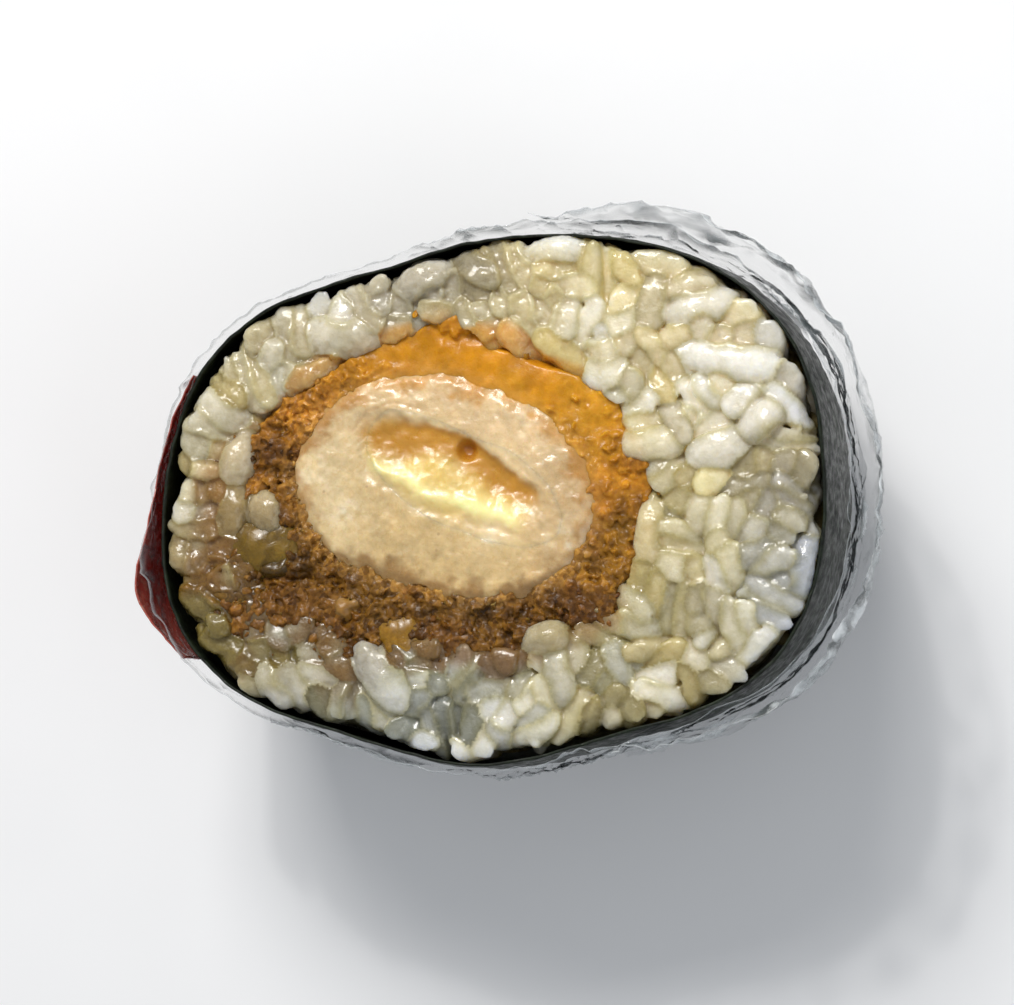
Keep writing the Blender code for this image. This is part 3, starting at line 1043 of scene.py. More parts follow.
    # starch rounds off the creases between grains
    out = normals_of(obj.data)
    fill = (1 - smooth(crease, 0.0, 0.8)) * smooth(co[:, 2], H - 3.2, H - 2.0)
    co = co + out * ((0.30 + 0.18 * smeared(co[:, 0], co[:, 1])) * fill)[:, None]
    put_points(obj.data, co)
    mask_relax(obj.data, 0.5 * fill, 3)
    co = points_of(obj.data)

    n = len(c)
    white = np.clip(rng.normal(0.2, 0.32, n), 0, 0.95)
    warm = rng.normal(0.05, 0.32, n) + 0.6 * blotch.layers(c + 90, 6.0, 2)
    light = rng.normal(1.0, 0.08, n)
    white = np.clip(white + 0.5 * blotch.layers(c + 35, 6.5, 2), 0, 0.95)
    for k, g in enumerate(NOTABLE):
        white[free + k], warm[free + k], light[free + k] = g[7], g[8], 1.03
    x, y, z = co.T
    soft = smeared(x, y)
    own = 1 - 0.6 * soft  # how much each grain keeps its own colour
    colour = rice_colour_and_shade(x * 0.5 + c[first, 0] * 0.5, y * 0.5 + c[first, 1] * 0.5)
    colour = colour * (1 + (light[first] - 1) * own)[:, None]
    bright = linear(240, 237, 229)
    wgt = (white[first] * own)[:, None]
    colour = colour * (1 - 0.75 * wgt) + bright * 0.75 * wgt
    heat = (warm[first] * own)[:, None]
    colour = colour * np.where(
        heat > 0, 1 + heat * np.array([0.05, -0.01, -0.26]), 1 - heat * np.array([-0.10, -0.04, 0.10])
    )
    # the white grains keep cleaner than the rest
    soak = np.where(first < free, 1.0, 0.3)
    colour = soaked(
        colour, x * 0.6 + c[first, 0] * 0.4, y * 0.6 + c[first, 1] * 0.4, z, soak
    )
    # each grain is whitish in its body and clearer, so darker and yellower, towards its edges; the darkening in the
    # creases between grains is also painted shade
    body = smooth(crease, 0.0, 1.0)[:, None] * (1 - 0.55 * soft[:, None]) + 0.45 * soft[:, None]
    # the gaps between grains are darker and yellower: partly the starch's own clearer tone, partly painted shade
    off = smooth(nearest, 0.15, 0.9)[:, None]  # starch between the grains
    # painted shade: the rice is darker the deeper it lies under the cut
    deep = smooth(H - 1.3 - z, 0.0, 2.2)[:, None]
    edge = np.clip(proud / 0.16, -1.2, 1.5)[:, None]
    shade = np.array([0.75, 0.72, 0.54]) * (1 - body) + np.array([1.08, 1.08, 1.08]) * body
    shade = shade * (1 - off * np.array([0.30, 0.33, 0.52]))
    shade = shade * (1 - deep * np.array([0.62, 0.70, 0.86]))
    # painted light: proud tips and edges lighter, as if lit through, and hollows darker, painted shade
    shade = shade * np.where(
        edge > 0, 1 + edge * np.array([0.06, 0.07, 0.10]), 1 + edge * np.array([0.06, 0.08, 0.14])
    )
    colour = colour * shade
    put_points(obj.data, (co + SHIFT) * 0.001)
    paint(obj, "tint", colour)
    obj.data.materials.clear()
    obj.data.materials.append(rice_material())
    smooth_shaded(obj)
    return obj


# ---------------------------------------------------------------------------
# Coating
# ---------------------------------------------------------------------------
lumps = Noise(5)


def crust_colour(x, y, z):
    d, a = coating_line.beyond(x, y)
    inside, _ = meat_line.beyond(x, y)
    p = flat(x, y, z)
    a = a + 0.20 * blotch.layers(p, 5.0, 2)
    colour = around(CRUST, 1, a)
    pale = (1 - smooth(inside, -0.3, 1.9)) * 0.6
    colour = colour * (1 - pale[..., None]) + (0.5 * colour + 0.5 * linear(206, 160, 92)) * pale[..., None]
    rough = around(CRUMBLY, 1, a)[..., None]
    vary = (0.6 * lumps.layers(p, 1.0, 2) + 0.9 * blotch.layers(p + 30, 3.0, 3))[..., None]
    colour = colour * (1 + (0.10 + 0.20 * rough) * vary)
    dark = smooth(blotch.layers(p + 70, 2.4, 3), 0.35, 0.9)[..., None] * (0.2 + 0.35 * rough)
    return colour * (1 - dark * np.array([0.45, 0.6, 0.75]))


def crust_height(x, y, t):
    p = flat(x, y)
    _, a = coating_line.beyond(x, y)
    rough = around(CRUMBLY, 1, a)
    fine = lumps.ridged(p, 2.2, 3) * 0.32 + lumps.layers(p, 0.8, 3) * 0.20
    calm = lumps.layers(p + 60, 3.0, 3) * 0.22
    edge = np.sin(math.pi * np.clip(t, 0, 1)) ** 0.6
    return -0.62 + (fine * rough + calm) * (0.4 + 0.6 * edge) + 0.22 * edge


# clusters of crumbs beyond the coating: middle, reach, how many, colour
CLUSTERS = (
    (-25.8, 6.0, 1.9, 90, (84, 54, 20)),
    (-24.8, -1.8, 1.5, 60, (80, 50, 18)),
    (-21.5, -13.0, 4.0, 330, (116, 78, 28)),
    (-28.0, -13.5, 3.4, 190, (122, 84, 34)),
    (-30.5, -8.5, 2.2, 80, (126, 92, 40)),
    (-16.0, -17.6, 3.2, 190, (112, 74, 24)),
    (-5.0, -16.6, 3.4, 170, (100, 64, 20)),
    (12.5, -12.6, 3.4, 170, (94, 60, 22)),
    (-9.0, -20.5, 2.0, 50, (128, 92, 34)),
    (-3.0, 20.6, 1.6, 50, (188, 126, 34)),
    (18.6, 4.2, 1.4, 40, (168, 112, 38)),
)


def make_coating():
    """The crumb coating: a ring with a crumbly top, fused with the crumbs that make it up."""
    cols, top_rows = 420, 26
    a = np.linspace(0, 2 * math.pi, cols, endpoint=False)
    rings = []
    xi, yi = meat_line.at(a, 1.1)
    xo, yo = coating_line.at(a, -edge_wander(a) - 0.5)
    rings.append(flat(xi, yi, H - 6.5))
    rings.append(flat(xo, yo, H - 6.5))
    rings.append(flat(xo, yo, H - 3.0))
    for k in range(top_rows + 1):
        t = k / top_rows
        x, y = xo + (xi - xo) * t, yo + (yi - yo) * t
        sunk = -1.0 * smooth(0.12 - t, 0.0, 0.12)
        rings.append(flat(x, y, H + crust_height(x, y, 1 - t) + sunk))
    rings.append(flat(xi, yi, H - 3.0))
    rings.append(rings[0])
    verts, faces = rings_mesh(rings, False, False)
    points, all_faces, start = [verts], list(map(tuple, faces)), len(verts)
    rng = np.random.default_rng(77)
    for _ in range(5200):
        b = rng.uniform(-math.pi, math.pi)
        t = rng.uniform(-0.12, 1.0)
        qx, qy = meat_line.at(b, -0.1)
        reach = coating_line.radius(b) + edge_wander(np.array(b)) - 0.2
        ox = COATING[1][0] + reach * math.cos(b)
        oy = COATING[1][1] + reach * math.sin(b)
        x, y = qx + (ox - qx) * t, qy + (oy - qy) * t
        rough = float(around(CRUMBLY, 1, np.array(b)))
        if rng.random() > rough * 1.3 - 0.2:
            continue
        size = min(rng.gamma(3.0, 0.085) + 0.12, 0.55)
        form = LUMP_POINTS * (size * rng.uniform(0.4, 1.6, 3))
        form = form * (1 + 0.26 * rng.normal(0, 1, (len(form), 1)).clip(-1.5, 1.5))
        q, _ = np.linalg.qr(rng.normal(size=(3, 3)))
        if np.linalg.det(q) < 0:
            q[:, 0] *= -1
        z = H + float(crust_height(np.array(x), np.array(y), t)) + rng.uniform(-0.25, 0.12) * (0.4 + rough)
        points.append(form @ q.T + (x, y, z))
        all_faces += [tuple(start + m for m in f) for f in LUMP_FACES]
        start += len(form)
    for cx, cy, reach, count, _ in CLUSTERS:
        for _ in range(int(count * 2.4)):
            r, b = reach * math.sqrt(rng.uniform(0, 1)), rng.uniform(0, 2 * math.pi)
            x, y = cx + 1.3 * r * math.cos(b), cy + 0.8 * r * math.sin(b)
            if rice_line.beyond(x, y)[0] > -2.0:
                continue
            size = min(rng.gamma(3.0, 0.10) + 0.14, 0.6)
            form = LUMP_POINTS * (size * rng.uniform(0.6, 1.4, 3))
            form = form * (1 + 0.2 * rng.normal(0, 1, (len(form), 1)).clip(-1.5, 1.5))
            q, _ = np.linalg.qr(rng.normal(size=(3, 3)))
            form = form @ (q * np.sign(np.linalg.det(q))).T
            points.append(form + (x, y, H + rng.uniform(-0.8, 0.3) - 0.3 * r / reach))
            all_faces += [tuple(start + m for m in f) for f in LUMP_FACES]
            start += len(form)
    obj = new_object("coating_crust", np.concatenate(points), all_faces, scale=1.0, shift=False)
    merge = obj.modifiers.new("seam", "WELD")
    merge.merge_threshold = 0.0001
    fuse = obj.modifiers.new("fuse", "REMESH")
    fuse.mode = "VOXEL"
    fuse.voxel_size = 0.17
    fuse.adaptivity = 0.0
    evaluated(obj)
    mask_relax(obj.data, np.full(len(obj.data.vertices), 0.4), 1)
    co = points_of(obj.data)
    n = normals_of(obj.data)
    top = smooth(co[:, 2], H - 3.0, H - 1.5)
    _, b = coating_line.beyond(co[:, 0], co[:, 1])
    rough = around(CRUMBLY, 1, b)
    pits = smooth(lumps.layers(co + 20, 1.7, 3), 0.45, 0.85)
    put_points(obj.data, co + n * (top * (0.07 * lumps(co, 0.45) * rough - 0.4 * pits * rough))[:, None])
    thin = obj.modifiers.new("thin", "DECIMATE")
    faces_now = sum(len(p.vertices) - 2 for p in obj.data.polygons)
    thin.ratio = min(1.0, 150000 / faces_now)
    evaluated(obj)
    co = points_of(obj.data)
    x, y, z = co.T
    colour = crust_colour(x, y, z)
    for cx, cy, reach, _, shade in CLUSTERS:
        r2 = ((x - cx) / (1.3 * reach)) ** 2 + ((y - cy) / (0.8 * reach)) ** 2
        share = (0.75 * np.exp(-(r2**2)))[:, None]
        colour = colour * (1 - share) + linear(*shade) * share
    # painted shade: the crust darkens the lower it lies under its top, in pits and between crumbs
    low = smooth(H - 0.55 - z, -0.2, 1.3)[:, None]
    colour = colour * (1 - low * np.array([0.34, 0.42, 0.50]))
    put_points(obj.data, (co + SHIFT) * 0.001)
    paint(obj, "tint", colour)
    _, b = coating_line.beyond(x, y)
    crumble = np.clip(around(CRUMBLY, 1, b) * 1.1 - 0.12, 0, 1)
    paint(obj, "crumble", crumble)
    obj.data.materials.clear()
    obj.data.materials.append(crumb_material("coating_look", True))
    return smooth_shaded(obj)




def scatter(name, places, colours, material, seed, rough=0.28):
    """Many small lumps joined in one mesh. places: (x, y, z, size, flatness)."""
    rng = np.random.default_rng(seed)
    verts, faces, tints, start = [], [], [], 0
    for (x, y, z, size, flatness), colour in zip(places, colours):
        q = rng.normal(size=4)
        q /= np.linalg.norm(q)
        w, i, j, k = q
        turn = np.array(
            [
                [1 - 2 * (j * j + k * k), 2 * (i * j - k * w), 2 * (i * k + j * w)],
                [2 * (i * j + k * w), 1 - 2 * (i * i + k * k), 2 * (j * k - i * w)],
                [2 * (i * k - j * w), 2 * (j * k + i * w), 1 - 2 * (i * i + j * j)],
            ]
        )
        form = LUMP_POINTS * (size * rng.uniform(0.65, 1.25, 3))
        form = form * (1 + rough * rng.normal(0, 1, (len(form), 1)).clip(-1.6, 1.6) * 0.55)
        form = form @ turn.T
        form[:, 2] *= flatness
        verts.append(form + (x, y, z))
        faces += [[start + m for m in f] for f in LUMP_FACES]
        tints.append(np.repeat(colour[None], len(form), 0))
        start += len(form)
    obj = new_object(name, np.concatenate(verts), faces)
    paint(obj, "tint", np.concatenate(tints))
    paint(obj, "crumble", np.ones(start))
    obj.data.materials.append(material)
    return smooth_shaded(obj)


def make_crumbs():
    """Loose crumbs and bits of sauce-soaked coating that strayed into the rice."""
    rng = np.random.default_rng(77)
    places, colours = [], []

    def drop(x, y, size, colour, high=0.15):
        if rice_line.beyond(x, y)[0] > -2.0:
            return
        places.append((x, y, H + rng.uniform(-1.1, high) - 0.1, size, 0.85))
        colours.append(colour)

    for _ in range(420):
        deg = rng.choice(
            [rng.normal(-148, 20), rng.normal(-85, 28), rng.uniform(-180, 180)], p=[0.6, 0.25, 0.15]
        )
        a = (math.radians(deg) + math.pi) % (2 * math.pi) - math.pi
        lower_left = math.exp(-(((deg + 148) / 30) ** 2))
        d = abs(rng.normal(0, 1)) * (0.9 + 3.6 * lower_left) + float(edge_wander(np.array(a))) - 0.3
        x, y = coating_line.at(a, -d)
        drop(x, y, rng.gamma(4, 0.08) + 0.12, around(SOAK, 1, np.array(a)) * rng.uniform(0.55, 1.3))
    for x, y, reach, count, colour in CLUSTERS:
        for _ in range(count // 6):
            r, a = reach * math.sqrt(rng.uniform(0, 1)), rng.uniform(0, 2 * math.pi)
            drop(
                x + 1.3 * r * math.cos(a), y + 0.8 * r * math.sin(a), rng.gamma(4, 0.075) + 0.14,
                linear(*colour) * rng.uniform(0.55, 1.5), 0.35,
            )
    return scatter("crumbs", places, colours, crumb_material("crumb_look", True), 78)


def make_sauce_bits():
    """Soft pieces of soaked filling, olive and amber, that lie among the rice."""
    rng = np.random.default_rng(9)
    bits = (
        (-26.8, -5.4, 5.2, 3.6, -8, (112, 88, 24)),
        (-24.6, -7.6, 2.6, 1.6, 30, (78, 58, 16)),
        (-9.6, -17.0, 2.9, 3.8, 12, (148, 110, 30)),
        (-20.6, -16.2, 2.2, 1.5, 40, (134, 92, 30)),
        (-17.0, -12.6, 2.0, 2.8, 80, (140, 104, 48)),
        (-31.0, -11.0, 2.6, 1.4, 10, (118, 88, 34)),
    )
    verts, faces, tints, start = [], [], [], 0
    import bmesh

    bm = bmesh.new()
    bmesh.ops.create_icosphere(bm, subdivisions=4, radius=1.0)
    base = np.array([v.co for v in bm.verts])
    base_faces = [[v.index for v in f.verts] for f in bm.faces]
    bm.free()
    wob = Noise(15)
    for x, y, long_half, short_half, turn, colour in bits:
        c, s = math.cos(math.radians(turn)), math.sin(math.radians(turn))
        q = base.copy()
        q[:, 2] = np.sign(q[:, 2]) * np.abs(q[:, 2]) ** 1.4
        form = q * (long_half, short_half, 1.5)
        form *= (1 + 0.16 * wob.layers(base * 2 + x, 1.4, 3))[:, None]
        form[:, :2] = np.stack([form[:, 0] * c - form[:, 1] * s, form[:, 0] * s + form[:, 1] * c], -1)
        verts.append(form + (x, y, H - 0.95))
        faces += [[start + m for m in f] for f in base_faces]
        tints.append(np.repeat(linear(*colour)[None], len(form), 0))
        start += len(form)
    obj = new_object("sauce_bits", np.concatenate(verts), faces)
    paint(obj, "tint", np.concatenate(tints))
    obj.data.materials.append(sauce_material())
    return smooth_shaded(obj)


# ---------------------------------------------------------------------------
# Cutlet and cheese
# ---------------------------------------------------------------------------
flesh = Noise(23)


# the pocket in the cheese: the amber hollow, its amber partly the melted cheese's own and partly painted shade, the
# bright ridge below it, partly a painted highlight, the melted part that holds both, and the faint groove above; each
# a bent band of (x, y, half width)
HOLLOW = ((-13.6, 8.0, 0.4), (-11.6, 7.2, 1.7), (-9.0, 7.1, 2.2), (-6.0, 7.2, 1.6),
          (-3.2, 6.6, 1.25), (-1.7, 5.7, 1.5), (0.6, 3.9, 1.5), (3.0, 2.0, 1.6), (5.4, 0.6, 1.1))
RIDGE = ((-12.4, 4.2, 0.0), (-9.4, 2.6, 0.0), (-6.0, 0.5, 0.0), (-1.2, -1.2, 0.0), (3.6, -2.4, 0.0))
MELT = ((-11.0, 6.0, 2.2), (-7.0, 4.2, 3.4), (-2.0, 1.8, 3.8), (3.0, -0.6, 2.6))
ARC = ((-15.4, 8.2, 0.0), (-13.6, 10.4, 0.0), (-10.4, 11.4, 0.0), (-7.4, 10.6, 0.0))


def chain(x, y, nodes):
    """Distance to a bent band: nodes are (x, y, half width), less than nothing inside it."""
    best = None
    for (ax, ay, aw), (bx, by, bw) in zip(nodes, nodes[1:]):
        dx, dy = bx - ax, by - ay
        t = np.clip(((x - ax) * dx + (y - ay) * dy) / (dx * dx + dy * dy), 0, 1)
        d = np.hypot(x - ax - t * dx, y - ay - t * dy) - (aw + (bw - aw) * t)
        best = d if best is None else np.minimum(best, d)
    return best


def pocket_fields(x, y):
    """How far a point is from the amber hollow and from the bright ridge, and its side."""
    p = flat(x, y)
    wx = x + 0.22 * flesh.layers(p + 31, 2.6, 3)
    wy = y + 0.22 * flesh.layers(p + 57, 2.6, 3)
    hollow = chain(wx, wy, HOLLOW)
    ridge = chain(wx, wy, RIDGE)
    _, v = pocket_line.own(wx, wy)
    return hollow, ridge, v


def inner_height(x, y):
    """Height of the cutlet and the cheese over the cut: one soft crown with the hollow in it."""
    edge, _ = meat_line.beyond(x, y)
    p = flat(x, y)
    crown = 0.3 * smooth(-edge, 0.0, 6.0) - 0.55 * (1 - smooth(-edge, -0.4, 1.5))
    fine = 0.10 * flesh.layers(p, 3.6, 3) + 0.055 * flesh.layers(p, 1.1, 2)
    hollow, ridge, v = pocket_fields(x, y)
    lower = smooth(1.5 - v, 0.0, 1.3)
    reach = 0.7 + 2.6 * lower
    bowl = -0.95 * (1 - smooth(hollow, -1.3, reach)) * (1 - 0.25 * np.exp(-(((x + 4.5) / 2.5) ** 2)))
    bowl = bowl - 1.2 * np.exp(-((((x + 1.7) ** 2 + (y - 5.7) ** 2) / 1.1) ** 2))
    below = smooth(-v - 1.0, 0.0, 0.9)
    crest = 0.24 * np.exp(-((ridge / (1.2 - 0.45 * below)) ** 2))
    step = -0.22 * np.exp(-(((ridge - 1.5) / 0.8) ** 2)) * below
    arc = chain(x, y, ARC)
    groove = -0.06 * np.exp(-((arc / 0.28) ** 2))
    return crown + fine + bowl + crest + step + groove


def inner_colour(x, y, z):
    edge, a = meat_line.beyond(x, y)
    p = flat(x, y, z)
    wander = flesh.layers(p, 5.0, 3)

    def blend(colour, share, target):
        share = np.clip(share, 0, 1)[..., None]
        return colour * (1 - share) + linear(*target) * share

    top = smooth(y + 0.5 * x, -8.0, 8.0)
    colour = blend(linear(217, 190, 138) + 0 * p, top, (221, 194, 150))
    colour = blend(colour, 0.7 * smooth(x - 0.3 * y, 5.0, 11.0), (204, 172, 124))
    # paler towards the left edge: a painted sheen
    colour = blend(colour, 0.5 * smooth(-x, 10.0, 18.0), (222, 204, 164))
    # the coating's colour soaks into the cutlet's edge
    rim = 1 - smooth(-edge + 0.4 * wander + 0.9 * flesh.layers(p + 44, 1.7, 3), 0.5, 2.8)
    soaked_in = 0.6 * around(CRUST, 1, a) + 0.4 * linear(206, 164, 104)
    colour = colour * (1 - 0.9 * rim[..., None]) + soaked_in * 0.9 * rim[..., None]
    hollow, ridge, v = pocket_fields(x, y)
    lower = smooth(1.5 - v, 0.0, 1.3)
    # the melted part: pale yellow from the hollow down to the bright ridge and a little past it
    melt = chain(x, y, MELT)
    colour = blend(colour, 0.95 * (1 - smooth(melt + 0.5 * wander, -1.0, 1.2)), (226, 196, 114))
    under = smooth(-v - 1.0, 0.0, 0.9)
    # the bright ridge: the cheese's own pale yellow with a painted highlight where its slope faces the light
    colour = blend(colour, 0.95 * np.exp(-((ridge / (1.35 - 0.5 * under)) ** 2)), (252, 238, 172))
    # the amber hollow: partly the melted cheese's own amber, partly painted shade inside the pocket
    amber = 1 - smooth(hollow, -0.5 - 0.4 * lower, 0.15 + 1.5 * lower)
    colour = blend(colour, amber, (194, 140, 46))
    # painted shade on the hollow's upper wall, which faces away from the light
    wall = (1 - smooth(np.abs(hollow + 0.35), 0.0, 0.5)) * (1 - lower)
    colour = blend(colour, 0.35 * wall, (176, 118, 40))
    # painted shade in the small deep pit
    pit = np.exp(-((((x + 1.7) ** 2 + (y - 5.7) ** 2) / 1.2) ** 2))
    colour = blend(colour, 0.75 * pit, (176, 110, 20))
    arc = np.exp(-((chain(x, y, ARC) / 0.4) ** 2))
    colour = blend(colour, 0.2 * arc, (186, 140, 84))
    # painted highlights: whitish wet glints on the cutlet, kept off the amber hollow
    for sx, sy, size in ((-20.1, 3.1, 2.2), (1.4, -4.5, 1.8), (10.5, -4.9, 2.6), (-16.5, -1.5, 2.0), (6.0, 9.5, 2.4)):
        painted_highlight = np.exp(-((x - sx) ** 2 + (y - sy) ** 2) / size**2) * (0.7 + 0.6 * flesh(p, 0.9))
        colour = blend(colour, 0.45 * painted_highlight * (1 - amber), (244, 232, 206))
    grainy = 0.6 * flesh.layers(p + 80, 1.8, 3) + 0.5 * flesh.layers(p + 15, 0.7, 2)
    calm = np.maximum(amber, np.exp(-((ridge / 1.6) ** 2)))
    return colour * (1 + 0.05 * wander + 0.08 * grainy * (1 - 0.7 * calm))[..., None]


def cheese_edge(a, inset=0.0):
    wob = 0.5 * flesh.layers(flat(9 * np.cos(a), 9 * np.sin(a), 4.0), 5.5, 2)
    return cheese_line.at(a, inset + wob)


def make_meat():
    cols, top_rows = 620, 60
    a = np.linspace(0, 2 * math.pi, cols, endpoint=False)
    narrowing = ((1.0, 7.0), (0.94, 3.5), (0.78, 1.2), (0.45, 0.2))
    hollow = ((0.45, 0.1), (0.78, 0.5), (0.94, 1.5), (1.0, 3.2))
    rings = []
    for share, inset in narrowing:
        x, y = meat_line.at(a, inset)
        rings.append(flat(x, y, H - MEAT_RUN * share))
    wander = 0.45 * flesh.layers(flat(14 * np.cos(a), 14 * np.sin(a)), 2.4, 3)
    for drop in (6.0, 3.0):
        x, y = meat_line.at(a, 0.1)
        rings.append(flat(x, y, H - drop))
    xo, yo = meat_line.at(a, wander)
    xi, yi = cheese_edge(a, 0.0)
    for k in range(top_rows + 1):
        t = k / top_rows
        x, y = xo + (xi - xo) * t, yo + (yi - yo) * t
        rings.append(flat(x, y, H + inner_height(x, y)))
    for inset, drop in ((0.15, 0.05), (0.3, 0.12), (0.5, 0.22), (0.7, 0.4), (0.9, 2.2)):  # under the cheese
        x, y = cheese_edge(a, inset)
        rings.append(flat(x, y, H + inner_height(x, y) - drop))
    for share, inset in hollow:
        x, y = cheese_line.at(a, inset + 1.2)
        rings.append(flat(x, y, H - CHEESE_RUN * share - 0.1))
    verts, faces = rings_mesh(rings)
    obj = new_object("meat_cutlet", verts, faces)
    paint(obj, "tint", inner_colour(verts[:, 0], verts[:, 1], verts[:, 2]))
    obj.data.materials.append(meat_material())
    return smooth_shaded(obj)


def make_cheese():
    cols, rows_out = 620, 56
    a = np.linspace(0, 2 * math.pi, cols, endpoint=False)
    narrowing = ((1.0, 4.6), (0.94, 3.0), (0.78, 2.0), (0.45, 1.6))
    rings = []
    for share, inset in narrowing:
        x, y = cheese_line.at(a, inset)
        rings.append(flat(x, y, H - CHEESE_RUN * share))
    for inset, drop in ((1.6, 6.0), (1.3, 3.0), (0.3, 1.2), (-0.62, 0.5), (-0.6, 0.25), (-0.4, 0.14), (-0.2, 0.06)):
        x, y = cheese_edge(a, inset)
        rings.append(flat(x, y, H + inner_height(x, y) - drop))
    xo, yo = cheese_edge(a, 0.0)
    c, s = cheese_line.c, cheese_line.s
    half = cheese_line.long - cheese_line.short
    along = np.cos(a) * half * 0.98
    xi, yi = cheese_line.centre[0] + along * c, cheese_line.centre[1] + along * s
    for k in range(rows_out + 1):  # down to a line, whose two sides the weld joins
        t = k / rows_out
        x, y = xo + (xi - xo) * t, yo + (yi - yo) * t
        rings.append(flat(x, y, H + inner_height(x, y)))
    verts, faces = rings_mesh(rings, True, False)
    obj = new_object("cheese_core", verts, faces)
    paint(obj, "tint", inner_colour(verts[:, 0], verts[:, 1], verts[:, 2]))
    obj.data.materials.append(cheese_material())
    merge = obj.modifiers.new("seam", "WELD")
    merge.merge_threshold = 0.00002
    return smooth_shaded(obj)


# ---------------------------------------------------------------------------
# Nori, film and tape
# ---------------------------------------------------------------------------
def wall_path():
    low = GAP + NORI + GAP + FILM
    path = []
    for k in range(6):
        t = math.radians(90 * k / 5)
        path.append((BASE_INSET * (1 - math.sin(t) ** 0.9), low + ROUND_HEIGHT * (1 - math.cos(t))))
    top = path[-1][1]
    for k in range(1, 5):
        t = k / 4
        path.append((-WAIST * math.sin(math.pi * t) * 0.8, top + (H - top) * t))
    return path


def offset(path, by):
    moved = []
    for k, (inset, z) in enumerate(path):
        if k == 0:
            moved.append((inset - by * 0.35, z - by))
            continue
        a, b = path[k - 1], path[min(k + 1, len(path) - 1)]
        dr, dz = -(b[0] - a[0]), b[1] - a[1]
        n = math.hypot(dr, dz)
        moved.append((inset - by * dz / n, z - by * dr / n))
    return moved


def near(a, centre, width):
    d = (np.degrees(a) - centre + 180) % 360 - 180
    return np.exp(-((d / width) ** 2))


def flare(a, z):
    share = smooth((z - (H - FLARE_DEPTH)) / FLARE_DEPTH)
    return share * (RIGHT_FLARE * near(a, 4, 30) + TAPE_FLARE * near(a, 195, 14))


def film_flare(a, z):
    """The film's own flare: its rim also folds outward at the upper right."""
    return flare(a, z) + 1.7 * near(a, 56, 20) * smooth((z - (H - 7)) / 7)


def rim_wave(a):
    return 0.45 * (np.sin(5 * a + 0.4) + 0.6 * np.sin(11 * a + 2.0) + 0.3 * np.sin(17 * a))


def fine_path(by, rows):
    """The wall's path drawn evenly from the base to the cut: insets, heights, length run."""
    path = np.array(offset(wall_path(), by))
    run = np.concatenate([[0], np.cumsum(np.hypot(*np.diff(path, axis=0).T))])
    at = np.linspace(0, run[-1], rows)
    inset, z = np.interp(at, run, path[:, 0]), np.interp(at, run, path[:, 1])
    kernel = np.array([0.25, 0.5, 0.25])
    for _ in range(6):
        inset[1:-1] = np.convolve(inset, kernel, "same")[1:-1]
        z[1:-1] = np.convolve(z, kernel, "same")[1:-1]
    return inset, z, at


def creases(s, t, round_length, count, seed, lengths, widths, heights, lean, towards=90):
    """Sharp little folds drawn over a wall, as a height. s goes round, t runs up."""
    rng = np.random.default_rng(seed)
    total = np.zeros(np.broadcast(s, t).shape)
    for _ in range(count):
        s0, t0 = rng.uniform(0, round_length), rng.uniform(-2, 46)
        turn = math.radians(towards + rng.normal(0, lean))
        long_half = rng.uniform(*lengths) / 2
        wide, tall = rng.uniform(*widths), rng.uniform(*heights)
        bow = rng.normal(0, 0.02)
        ds = (s - s0 + round_length / 2) % round_length - round_length / 2
        dt = t - t0
        along = ds * math.cos(turn) + dt * math.sin(turn)
        across = -ds * math.sin(turn) + dt * math.cos(turn) - bow * along**2
        taper = np.clip(1 - (along / long_half) ** 2, 0, 1)
        total += tall * taper * np.exp(-np.abs(across) / wide)
    return total


def wall_sheet(name, by, cols, rows, cap_rows, displace, lift, thickness, spread=None):
    """A closed-bottomed sheet round the rice. displace moves it out, lift shapes its rim."""
    inset, z, run = fine_path(by, rows)
    a = np.linspace(0, 2 * math.pi, cols, endpoint=False)
    slope_r = np.gradient(-inset)
    slope_z = np.gradient(z)
    norm = np.hypot(slope_r, slope_z)
    nr, nz = slope_z / norm, -slope_r / norm
    radius = rice_line.radius(a).mean()
    around_mm = a * radius
    rings, heights = [], []
    base_x, base_y = rice_line.at(a, inset[0])
    for k in range(cap_rows, 0, -1):
        share = 1 - k / (cap_rows + 0.6)
        x, y = base_x * share, base_y * share
        bump = displace(around_mm, -(1 - share) * 26 + 0 * a, a)
        rings.append(flat(x, y, z[0] - 0.02 + np.maximum(bump, 0.0) * 0.8))
        heights.append(bump)
    for k in range(rows):
        out = spread(a, z[k]) if spread else 0.0
        bump = displace(around_mm, run[k] + 0 * a, a)
        top = smooth(run[k], run[-1] - 6.0, run[-1])
        hz = z[k] + nz[k] * bump + lift(a) * top
        x, y = rice_line.at(a, inset[k] - out - nr[k] * bump)
        rings.append(flat(x, y, np.maximum(hz, z[0] - 0.05)))
        heights.append(bump)
    verts, faces = rings_mesh(rings, True, False)
    obj = new_object(name, verts, faces)
    heights = np.concatenate(heights + [np.zeros(1)])
    shell = obj.modifiers.new("thickness", "SOLIDIFY")
    shell.thickness = thickness * 0.001
    shell.offset = 1.0
    shell.use_even_offset = False
    return obj, heights


sheet_noise = Noise(41)


